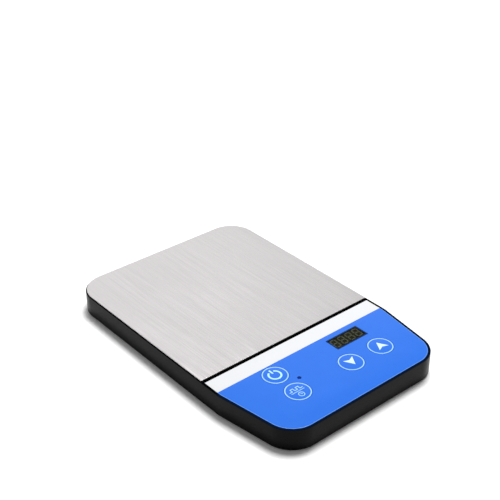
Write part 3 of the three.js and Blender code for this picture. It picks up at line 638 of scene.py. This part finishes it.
def circuit_board(name):
    """Green solder mask over faint copper areas."""
    surface = Surface(name, MASK_GREEN, 0.4)
    cells = surface.node(
        "ShaderNodeTexBrick",
        {"Vector": surface.place, "Scale": BOARD_CELLS, "Mortar Size": 0.03},
    ).outputs["Fac"]
    surface.feed(surface.mix(cells, MASK_GREEN, MASK_GAP), "Base Color")
    surface.bump(cells, 0.03, 0.5)
    return surface.material


# Painted shade for the casing's lip and groove floor, tinted blue beside the blue film.
RIM_PAINTED_SHADE = (0.0015, 0.0016, 0.0022)
RIM_PAINTED_SHADE_BESIDE_FILM = (0.0025, 0.0075, 0.022)
CASING_BLACK = moulded(
    "moulded_black",
    (0.0026, 0.0025, 0.0025),
    (0.0034, 0.0033, 0.0032),
    0.28,
    rim=(RIM_PAINTED_SHADE, RIM_PAINTED_SHADE_BESIDE_FILM),
    Specular_IOR_Level=0.061,
)
BASE_BLACK = moulded("base_black", (0.013, 0.013, 0.013), (0.018, 0.018, 0.018), 0.6, 0.5, 0.04)
PLATE_STEEL = brushed_steel("brushed_sheet", STEEL, STEEL_ROUGHNESS)
FOAM = moulded("bonding_foam_black", (0.003, 0.003, 0.003), (0.006, 0.006, 0.006), 0.9, 0.5, 0.08)
FILM_STRIPED = printed_film("film_blue_and_white", True)
FILM_BLUE = printed_film("film_blue", False)
INK_WHITE = ink("ink_white", (0.6, 0.77, 0.88))
INK_POWER = ink("ink_pale_blue", (0.43, 0.77, 0.95))
INK_RING = ink("ink_light_blue", (0.33, 0.6, 0.95))
WINDOW_EDGE_NAVY = ink("navy_window_edge", (0.004, 0.022, 0.075), 0.05)
INK_BORDER = ink("ink_border_blue", (0.1, 0.28, 0.78))
GLASS = smoked_glass("smoked_window_clear")
DIGIT = ink("unlit_segment", (0.38, 0.42, 0.3))
MODULE_FACE = moulded(
    "display_black", (0.024, 0.028, 0.014), (0.03, 0.035, 0.018), 0.6, Specular_IOR_Level=0.1
)
LED_BLUE = ink("led_dark_blue", (0.0, 0.018, 0.18), 0.05)
RUBBER = moulded("foot_rubber_black", (0.008, 0.008, 0.008), (0.013, 0.013, 0.013), 0.8, 0.4, 0.05)
SCREW_STEEL = bare_metal("screw_zinc", (0.42, 0.42, 0.43), 0.36)
LABEL_GREY = moulded("blank_label", (0.5, 0.5, 0.5), (0.55, 0.55, 0.55), 0.45, 0.3, 0.005)
BRASS = bare_metal("inlet_pin_plated", (0.62, 0.55, 0.4), 0.28)
INLET_BLACK = moulded("inlet_black", (0.008, 0.008, 0.008), (0.012, 0.012, 0.012), 0.4)
CHIP = moulded("chip_epoxy", (0.012, 0.012, 0.013), (0.018, 0.018, 0.019), 0.45)
SWITCH = moulded("switch_grey_plastic", (0.03, 0.032, 0.034), (0.05, 0.052, 0.055), 0.5)
NYLON = moulded("natural_nylon", (0.65, 0.62, 0.54), (0.75, 0.72, 0.64), 0.5)
IRON = bare_metal("soft_iron_dull", (0.25, 0.255, 0.26), 0.45)
COPPER = enamelled_wire("enamelled_wire")
BOARD = circuit_board("solder_mask")
SHEATH = moulded("lead_sheath_black", (0.01, 0.01, 0.011), (0.016, 0.016, 0.018), 0.55)
CAN = bare_metal("capacitor_sleeve", (0.55, 0.56, 0.58), 0.32)


def finish(obj, material, slot, body, *replaced, sharp=SHARP):
    """Gives a piece its material, the body it rides on, the nodes it stands for; slot is unused."""
    obj.data.materials.clear()
    obj.data.materials.append(material)
    obj.data.shade_smooth()
    obj.data.set_sharp_from_angle(angle=math.radians(sharp))
    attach(obj, body)
    if replaced:
        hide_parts(*replaced)


# ---------------------------------------------------------------- casing and covers


def bosses():
    """The middles of the four screw bosses, inside the rounded corners."""
    places = []
    for i, radius in enumerate(CASING_RADII):
        if radius:
            centre, outwards, _ = corner_centre(CASING_CORNERS, i, radius)
            reach = radius - WALL - BOSS_TO_WALL - BOSS_RADIUS
            places.append((centre + outwards * reach, outwards))
    return places


def casing_cavity():
    """What is hollow in the casing: a low part under the panel and a higher one behind it."""
    cavity = prism("tool", casing_outline(WALL), BASE_Z - CLEAR, REAR_CEILING_Z)
    length = DECK_STEP_Y - FRONT
    deck = rectangle(0, FRONT + length / 2, CASING_WIDTH, length)
    cut(cavity, prism("tool", deck, PANEL_CEILING_Z, REAR_CEILING_Z + CLEAR))
    posts = [tool_disc(p.x, p.y, BOSS_RADIUS, BASE_TOP_Z, GROOVE_BOTTOM_Z) for p, _ in bosses()]
    pilots = [tool_disc(p.x, p.y, PILOT_RADIUS, 0, PILOT_TOP_Z) for p, _ in bosses()]
    return join(cut(cavity, *posts), *pilots)


def panel_recess():
    """The film's seat, whose top edge is chamfered."""
    steps = [
        (LIP_WIDTH, FILM_BOTTOM_Z),
        (LIP_WIDTH, LIP_Z - LIP_CHAMFER),
        (LIP_WIDTH - LIP_CHAMFER, LIP_Z),
        (LIP_WIDTH - LIP_CHAMFER, LIP_Z + CLEAR),
    ]
    return loft("tool", [(panel_outline(d, 0), z) for d, z in steps])


def panel_openings(z0, window_margin):
    """Tools that open the panel for the keys, the window and the light, down to a level."""
    tools = [tool_disc(x, y, KEY_HOLE, z0, LIP_Z, KEY_SEGMENTS) for x, y in KEYS.values()]
    x, y, width, length = WINDOW
    window = rectangle(x, y, width + 2 * window_margin, length + 2 * window_margin)
    return [*tools, prism("tool", window, z0, LIP_Z), tool_disc(*LED, LED_HOLE, z0, LIP_Z)]


def casing():
    edges = BOTTOM_ROUND, TOP_ROUND, WALL_EDGE_STEPS
    shell = slab("casing_shell", casing_outline, BASE_Z, LIP_Z, *edges)
    groove_y = (PANEL_REAR_Y + PLATE_FRONT_Y) / 2
    groove = rectangle(0, groove_y, 2 * (SIDE - LIP_WIDTH), PLATE_FRONT_Y - PANEL_REAR_Y)
    cut(
        shell,
        casing_cavity(),
        panel_recess(),
        prism("tool", groove, GROOVE_BOTTOM_Z, LIP_Z + CLEAR),
        *panel_openings(PANEL_CEILING_Z - CLEAR, -WINDOW_LEDGE),
        tool_rod(INLET_X, INLET_Z, INLET_HOLE, REAR - 2 * WALL, REAR + CLEAR),
    )
    finish(shell, CASING_BLACK, "casing_plastic", "housing", "casing", sharp=SHARP_ON_CASING)


def top_plate():
    plate = slab(
        "steel_top_plate",
        lambda d: plate_outline(PLATE_MARGIN + d, d),
        PLATE_BOTTOM_Z,
        PLATE_TOP_Z,
        PLATE_EDGE / 2,
        PLATE_EDGE,
    )
    finish(plate, PLATE_STEEL, "plate_steel", "housing", "top_plate", sharp=SHARP_ON_PLATE)


def panel_film():
    film = slab(
        "panel_film",
        lambda d: panel_outline(LIP_WIDTH + FILM_CLEARANCE + d, FILM_CLEARANCE + d),
        FILM_BOTTOM_Z,
        FILM_TOP_Z,
        0,
        FILM_EDGE,
    )
    cut(film, *panel_openings(FILM_BOTTOM_Z - CLEAR, WINDOW_GAP))
    finish(film, FILM_STRIPED, "printed_film", "housing", "panel_overlay")


casing()
top_plate()
panel_film()

# ---------------------------------------------------------------- keys and their print

INK_HEIGHT = 0.02
RING_OUTER = 6.98
RING_INNER = 6.38

# Symbols, measured from the middle of their key or from where they are put beside it.
POWER_RING = (3.88, 2.85)
POWER_GAP = 27  # degrees on either side of the bar
POWER_BAR = (0.92, 1.5, 4.7)
POWER_RAISED = 0.2
ARROW = [(0, 3.4), (-3.42, -2.6), (0, -1.15), (3.42, -2.6)]
UP_ARROW_AT = (0.45, 0.1)
DOWN_ARROW_AT = (0.45, 0.65)
WAVE_STROKE = 0.5
WAVE_LOW = 1.35
WAVE_HIGH = 3.15
WAVE_TURNS = (-2.6, -0.9, 0.9, 2.6)
WAVE_REACH = 4.4
WAVE_LINE = (4.3, 0.05, 0.4)
CLOCK_Y = -2.7
CLOCK_RING = (1.8, 1.35)
CLOCK_HANDS = [(0, 0.95), (0, 0), (0.85, 0)]
CLOCK_STROKE = 0.32
BORDER_FROM_EDGE = 0.02
BORDER_STROKE = 0.28


def key_cap(name, x, y):
    corner = [
        (KEY_RADIUS - KEY_EDGE * (1 - math.cos(t)), FILM_TOP_Z - KEY_EDGE * (1 - math.sin(t)))
        for t in quarter_turn()
    ]
    profile = [
        (0, PLUNGER_TOP_Z),
        (KEY_STEM, PLUNGER_TOP_Z),
        (KEY_STEM, FILM_TOP_Z - KEY_SHELL),
        (KEY_RADIUS - KEY_SHELL, FILM_TOP_Z - KEY_SHELL),
        (KEY_RADIUS - KEY_SHELL, KEY_FLANGE_Z),
        (KEY_FLANGE, KEY_FLANGE_Z),
        (KEY_FLANGE, PANEL_CEILING_Z),
        (KEY_RADIUS, PANEL_CEILING_Z),
        *corner,
        (0, FILM_TOP_Z),
    ]
    cap = turned(f"{name}_key_cap", x, y, profile)
    finish(cap, FILM_BLUE, "printed_film", f"{name}_key_body", f"{name}_key")


def print_shape(name, pieces, material, body, z=FILM_TOP_Z, height=INK_HEIGHT):
    """Thin flat print. pieces are outlines, or pairs of an outer and an inner one."""
    bm = bmesh.new()
    for piece in pieces:
        outer, inner = piece if isinstance(piece, tuple) else (piece, None)
        rims = [
            [[bm.verts.new((p.x, p.y, level)) for p in line] for level in (z, z + height)]
            for line in ((outer, inner) if inner else (outer,))
        ]
        for k, (low, high) in enumerate(rims):
            for i in range(len(low)):
                j = (i + 1) % len(low)
                quad = (low[i], low[j], high[j], high[i])
                bm.faces.new(quad[::-1] if k else quad)
        if inner:
            for i in range(len(outer)):
                j = (i + 1) % len(outer)
                bm.faces.new((rims[0][1][i], rims[0][1][j], rims[1][1][j], rims[1][1][i]))
                bm.faces.new((rims[0][0][j], rims[0][0][i], rims[1][0][i], rims[1][0][j]))
        else:
            bm.faces.new(rims[0][1])
            bm.faces.new(rims[0][0][::-1])
    finish(new_object(name, bm), material, "printed_film", body)


def band(x, y, outer, inner, start, end, steps=48):
    """Part of a ring, between two angles in degrees."""
    angles = [math.radians(start + (end - start) * i / steps) for i in range(steps + 1)]
    centre = Vector((x, y))
    out = [centre + outer * unit(a) for a in angles]
    back = [centre + inner * unit(a) for a in reversed(angles)]
    return out + back


def moved(points, x, y):
    return [Vector((x + px, y + py)) for px, py in points]


def turned_round(points):
    """The same outline, turned by half a turn about its own middle."""
    return [(-px, -py) for px, py in points]


def stroke(path, width):
    """The outline of a line of this width along a path, with mitred turns."""
    points = [Vector(at) for at in path]
    normals = []
    for at, following in zip(points, points[1:]):
        along = (following - at).normalized()
        normals.append(Vector((-along.y, along.x)))
    left, right = [], []
    for at, before, after in zip(points, normals[:1] + normals, normals + normals[-1:]):
        mitre = width / 2 * (before + after) / (1 + before.dot(after))
        left.append(at + mitre)
        right.append(at - mitre)
    return right + left[::-1]


def power_symbol(x, y):
    """An open ring with a bar in its gap."""
    y += POWER_RAISED
    width, low, high = POWER_BAR
    ring = band(x, y, *POWER_RING, 90 + POWER_GAP, 450 - POWER_GAP)
    return [ring, moved(stroke([(0, low), (0, high)], width), x, y)]


def pulse_symbol(x, y):
    """A square wave over a line, and a clock face under it."""
    wave = [(-WAVE_REACH, WAVE_LOW)]
    for i, turn in enumerate(WAVE_TURNS):
        levels = (WAVE_HIGH, WAVE_LOW) if i % 2 else (WAVE_LOW, WAVE_HIGH)
        wave += [(turn, level) for level in levels]
    wave.append((WAVE_REACH, WAVE_LOW))
    reach, line_y, line_stroke = WAVE_LINE
    line = stroke([(-reach, line_y), (reach, line_y)], line_stroke)
    clock_y = y + CLOCK_Y
    clock = tuple(circle(x, clock_y, radius) for radius in CLOCK_RING)
    hands = moved(stroke(CLOCK_HANDS, CLOCK_STROKE), x, clock_y)
    return [moved(stroke(wave, WAVE_STROKE), x, y), moved(line, x, y), hands, clock]


def up_arrow(x, y):
    return [moved(ARROW, x + UP_ARROW_AT[0], y + UP_ARROW_AT[1])]


def down_arrow(x, y):
    return [moved(turned_round(ARROW), x + DOWN_ARROW_AT[0], y + DOWN_ARROW_AT[1])]


KEY_SYMBOLS = {
    "power": (power_symbol, INK_POWER),
    "pulse": (pulse_symbol, INK_RING),
    "down": (down_arrow, INK_WHITE),
    "up": (up_arrow, INK_WHITE),
}


def keys():
    for name, (x, y) in KEYS.items():
        key_cap(name, x, y)
        ring = (circle(x, y, RING_OUTER, KEY_SEGMENTS), circle(x, y, RING_INNER, KEY_SEGMENTS))
        print_shape(f"{name}_key_ring", [ring], INK_RING, f"{name}_key_body")
        symbol, material = KEY_SYMBOLS[name]
        print_shape(f"{name}_key_symbol", symbol(x, y), material, f"{name}_key_body")


def border_line():
    """A hair-thin printed line along the edge of the blue part, open at the white stripe."""
    edge = LIP_WIDTH + FILM_CLEARANCE + FILM_EDGE + BORDER_FROM_EDGE
    outer = outline_beyond(STRIPE_Y, -1, edge, 0, 0)
    inner = outline_beyond(STRIPE_Y, -1, edge + BORDER_STROKE, 0, 0)
    print_shape("panel_border", [outer + inner[::-1]], INK_BORDER, "housing")


keys()
border_line()

# ---------------------------------------------------------------- display and light

DIGIT_WIDTH = 4
DIGIT_HEIGHT = 6.9
DIGIT_PITCH = 5.4
DIGITS = 4
SEGMENT = 0.74
SEGMENT_GAP = 0.12
DIGIT_SHEAR = 0.05  # sideways lean for each millimetre of height
DIGIT_RAISED = 0.4


def segment_outlines(x, y):
    """The seven bars of one digit, pointed at both ends, about its middle."""
    half_w = (DIGIT_WIDTH - SEGMENT) / 2
    half_h = (DIGIT_HEIGHT - SEGMENT) / 2
    reach = half_w - SEGMENT_GAP
    level = [(-reach, 0), (-reach + SEGMENT / 2, -SEGMENT / 2), (reach - SEGMENT / 2, -SEGMENT / 2)]
    level += turned_round(level)
    reach = half_h / 2 - SEGMENT_GAP
    upright = [(0, -reach), (SEGMENT / 2, -reach + SEGMENT / 2), (SEGMENT / 2, reach - SEGMENT / 2)]
    upright += turned_round(upright)
    outlines = [[(px, py + k * half_h) for px, py in level] for k in (-1, 0, 1)]
    for kx in (-1, 1):
        for ky in (-0.5, 0.5):
            outlines.append([(px + kx * half_w, py + ky * half_h) for px, py in upright])
    return [moved([(px + DIGIT_SHEAR * py, py) for px, py in line], x, y) for line in outlines]


def display():
    x, y, width, length = WINDOW
    window = slab(
        "display_window_clear",
        lambda d: rectangle(x, y, width - 2 * d, length - 2 * d),
        FILM_BOTTOM_Z,
        FILM_TOP_Z,
        0,
        FILM_EDGE,
    )
    finish(window, GLASS, "smoked_window", "housing", "display_window")
    outer, inner = (
        rectangle(x, y, width - 2 * d, length - 2 * d) for d in (FILM_EDGE, WINDOW_BORDER)
    )
    # A dark navy band along the window's edge.
    print_shape("window_border", [(outer, inner)], WINDOW_EDGE_NAVY, "housing")
    bars = []
    for i in range(DIGITS):
        bars += segment_outlines(x + (i - (DIGITS - 1) / 2) * DIGIT_PITCH, y + DIGIT_RAISED)
    print_shape("display_digits", bars, DIGIT, "housing", MODULE_TOP_Z)


def status_light():
    x, y = LED
    turns = quarter_turn(DOME_STEPS)[:-1]
    spring_z = LED_TOP_Z - LED_DOME
    dome = [(LED_RADIUS * math.cos(t), spring_z + LED_DOME * math.sin(t)) for t in turns]
    base_z = BOARD_TOP_Z + LED_BASE_HEIGHT
    profile = [
        (0, BOARD_TOP_Z),
        (LED_BASE_RADIUS, BOARD_TOP_Z),
        (LED_BASE_RADIUS, base_z),
        (LED_RADIUS, base_z),
        *dome,
        (0, LED_TOP_Z),
    ]
    lens = turned("status_light_lens", x, y, profile, ROUND_SEGMENTS)
    finish(lens, LED_BLUE, "led_lens", "housing", "status_led")


display()
status_light()

# ---------------------------------------------------------------- underside and rear


def cross_tool(x, y, size, width, z0, z1):
    """An upright bar with a plus-shaped section."""
    reach, half = size / 2, width / 2
    arm = [Vector((reach, -half)), Vector((reach, half)), Vector((half, half))]
    outline = []
    for turn in range(4):
        across, along = unit(math.pi / 2 * turn), unit(math.pi / 2 * (turn + 1))
        outline += [Vector((x, y)) + p.x * across + p.y * along for p in arm]
    return prism("tool", outline, z0, z1)


def base_screws():
    face = SCREW_SEAT_Z - SCREW_HEAD_HEIGHT
    dome_width, dome_height = SCREW_HEAD_DOME
    middle = SCREW_HEAD_RADIUS - dome_width
    dome = [
        (middle + dome_width * math.sin(t), face + dome_height * (1 - math.cos(t)))
        for t in quarter_turn()
    ]
    profile = [
        (0, face),
        *dome,
        (SCREW_HEAD_RADIUS, SCREW_SEAT_Z),
        (SCREW_RADIUS, SCREW_SEAT_Z),
        (SCREW_RADIUS, SCREW_TIP_Z - SCREW_RADIUS),
        (0, SCREW_TIP_Z),
    ]
    for i, (at, _) in enumerate(bosses()):
        screw = turned(f"cover_screw_{i + 1}", *at, profile, SCREW_SEGMENTS)
        recess = cross_tool(*at, CROSS_RECESS, CROSS_WIDTH, face - CLEAR, face + CROSS_DEPTH)
        finish(cut(screw, recess), SCREW_STEEL, "screw_steel", "housing", f"base_screw_{i + 1}")


def feet():
    mouth = FOOT_GROOVE_WIDTH / 2
    floor = FOOT_GROOVE_FLOOR / 2
    rim = FOOT_RADIUS - FOOT_ROUND
    edge = [
        (rim + FOOT_ROUND * math.sin(t), FOOT_ROUND * (1 - math.cos(t))) for t in quarter_turn()
    ]
    profile = [
        (0, 0),
        (FOOT_GROOVE_RADIUS - mouth, 0),
        (FOOT_GROOVE_RADIUS - floor, FOOT_GROOVE_DEPTH),
        (FOOT_GROOVE_RADIUS + floor, FOOT_GROOVE_DEPTH),
        (FOOT_GROOVE_RADIUS + mouth, 0),
        *edge,
        (FOOT_RADIUS, FOOT_TOP_Z),
        (0, FOOT_TOP_Z),
    ]
    for i, (at, outwards) in enumerate(bosses()):
        foot = turned(f"rubber_foot_{i + 1}", *(at - outwards * FOOT_FROM_SCREW), profile)
        finish(foot, RUBBER, "foot_rubber", "housing", f"foot_{i + 1}")


def blank_label():
    x, y, width, length = LABEL
    label = slab(
        "blank_label_plate",
        lambda d: rectangle(x, y, width - 2 * d, length - 2 * d, LABEL_CORNER - d),
        *LABEL_Z,
        LABEL_EDGE,
    )
    finish(label, LABEL_GREY, "casing_plastic", "housing")


def inlet():
    """The barrel inlet: a block behind the wall, its nose through the wall and the socket."""
    body = slab(
        "inlet_socket",
        lambda d: rectangle(
            INLET_X, INLET_BODY_REAR_Y - INLET_DEPTH / 2, INLET_WIDTH - 2 * d, INLET_DEPTH - 2 * d
        ),
        BASE_TOP_Z,
        INLET_TOP_Z,
        INLET_EDGE,
        INLET_EDGE,
    )
    nose_y = INLET_BODY_REAR_Y - CLEAR
    join(body, tool_rod(INLET_X, INLET_Z, INLET_NOSE_RADIUS, nose_y, INLET_FACE_Y, KEY_SEGMENTS))
    socket_y = INLET_FACE_Y - SOCKET_DEPTH
    pin_y = INLET_BODY_REAR_Y - INLET_DEPTH - CLEAR
    cut(
        body,
        tool_rod(INLET_X, INLET_Z, SOCKET_RADIUS, socket_y, INLET_FACE_Y + CLEAR, KEY_SEGMENTS),
        tool_rod(INLET_X, INLET_Z, PIN_HOLE_RADIUS, pin_y, INLET_FACE_Y),
    )
    finish(body, INLET_BLACK, "chip_black", "housing", "inlet_body")


base_screws()
feet()
blank_label()
inlet()

# ---------------------------------------------------------------- finishes of the solid nodes

FINISHES = {
    "base_plate": BASE_BLACK,
    "plate_gasket": FOAM,
    "display_module": MODULE_FACE,
    "control_board": BOARD,
    "coil_terminal_board": BOARD,
    "microcontroller": CHIP,
    "power_inductor": CHIP,
    "driver_chip": CHIP,
    "smoothing_capacitor": CAN,
    "connector": NYLON,
    "plunger": NYLON,
    "coil_bobbin": NYLON,
    "switch": SWITCH,
    "board_screw": SCREW_STEEL,
    "yoke_plate": IRON,
    "coil_core": IRON,
    "coil_winding": COPPER,
    "inlet_pin": BRASS,
    "power_lead": SHEATH,
    "coil_cable": SHEATH,
}


def dress_nodes():
    for name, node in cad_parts.items():
        for part, material in FINISHES.items():
            if part in name:
                node.data.materials.clear()
                node.data.materials.append(material)


dress_nodes()

# ---------------------------------------------------------------- stage, lights and camera

# Metres and degrees from here on.
FLOOR_HALF = 4
KEY_LIGHT_AT = (0.8, 0.43, 2.66)
KEY_LIGHT_SIZE = (1, 1)
KEY_LIGHT_WATTS = 84
CAMERA_AT = (-0.317435, -0.369917, 0.346527)
CAMERA_YAW = 40.3549
CAMERA_PITCH = 30.8507
CAMERA_REACH = 20
FOCAL_PIXELS = 1056.65
FRAME_PIXELS = 500
SENSOR_MM = 36

# The sky's brightness. Each fade is the range over which it changes, measured along the bright
# direction or upwards, where the sky is a ball with a radius of 1.
NEAR_SKY = 0.16
BRIGHT_SKY = 1.2
BRIGHT_SKY_TOWARD = (0.352, 0.791, 0.5)
BRIGHT_SKY_FADE = (0.65, 1)
SKY_BAND = 0.5
SKY_BAND_FADE = (0.5, 0.75)


def stage_floor():
    bm = bmesh.new()
    bmesh.ops.create_grid(bm, x_segments=1, y_segments=1, size=FLOOR_HALF / MM)
    floor = new_object("floor", bm)
    surface = Surface("pale_floor", (0.97, 0.97, 0.97), 0.9, Specular_IOR_Level=0.0)
    floor.data.materials.append(surface.material)


def key_light():
    """A large soft lamp, high above and behind the right side, that looks at the part."""
    data = bpy.data.lights.new("key_light", "AREA")
    data.shape = "RECTANGLE"
    data.size, data.size_y = KEY_LIGHT_SIZE
    data.energy = KEY_LIGHT_WATTS
    light = bpy.data.objects.new("key_light", data)
    light.location = KEY_LIGHT_AT
    light.rotation_euler = (-Vector(KEY_LIGHT_AT)).to_track_quat("-Z", "Y").to_euler()
    bpy.context.scene.collection.objects.link(light)


def sky():
    """A plain studio: dim on the near side and overhead, bright in one direction, and with a
    softer band of wall all round, above the floor."""
    world = bpy.data.worlds.new("studio")
    bpy.context.scene.world = world
    world.use_nodes = True
    tree = world.node_tree
    place = tree.nodes.new("ShaderNodeTexCoord").outputs["Generated"]

    def ramp(value, span, low, high):
        level = tree.nodes.new("ShaderNodeMapRange")
        level.interpolation_type = "SMOOTHSTEP"
        level.inputs["From Min"].default_value = span[0]
        level.inputs["From Max"].default_value = span[1]
        level.inputs["To Min"].default_value = low
        level.inputs["To Max"].default_value = high
        tree.links.new(value, level.inputs["Value"])
        return level.outputs["Result"]

    facing = tree.nodes.new("ShaderNodeVectorMath")
    facing.operation = "DOT_PRODUCT"
    facing.inputs[1].default_value = Vector(BRIGHT_SKY_TOWARD).normalized()
    tree.links.new(place, facing.inputs[0])
    bright = ramp(facing.outputs["Value"], BRIGHT_SKY_FADE, NEAR_SKY, BRIGHT_SKY)
    apart = tree.nodes.new("ShaderNodeSeparateXYZ")
    tree.links.new(place, apart.inputs[0])
    band = ramp(apart.outputs["Z"], SKY_BAND_FADE, SKY_BAND, 0)
    brighter = tree.nodes.new("ShaderNodeMath")
    brighter.operation = "MAXIMUM"
    tree.links.new(bright, brighter.inputs[0])
    tree.links.new(band, brighter.inputs[1])
    background = tree.nodes["Background"].inputs
    background["Color"].default_value = (1, 1, 1, 1)
    tree.links.new(brighter.outputs[0], background["Strength"])


def camera():
    yaw, pitch = math.radians(CAMERA_YAW), math.radians(CAMERA_PITCH)
    forward = Vector(
        (math.sin(yaw) * math.cos(pitch), math.cos(yaw) * math.cos(pitch), -math.sin(pitch))
    )
    data = bpy.data.cameras.new("camera")
    data.sensor_width = SENSOR_MM
    data.lens = FOCAL_PIXELS / FRAME_PIXELS * SENSOR_MM
    data.clip_end = CAMERA_REACH
    eye = bpy.data.objects.new("camera", data)
    eye.location = CAMERA_AT
    eye.rotation_euler = forward.to_track_quat("-Z", "Y").to_euler()
    bpy.context.scene.collection.objects.link(eye)
    bpy.context.scene.camera = eye


stage_floor()
sky()
key_light()
camera()
bpy.context.scene.view_settings.view_transform = "Standard"
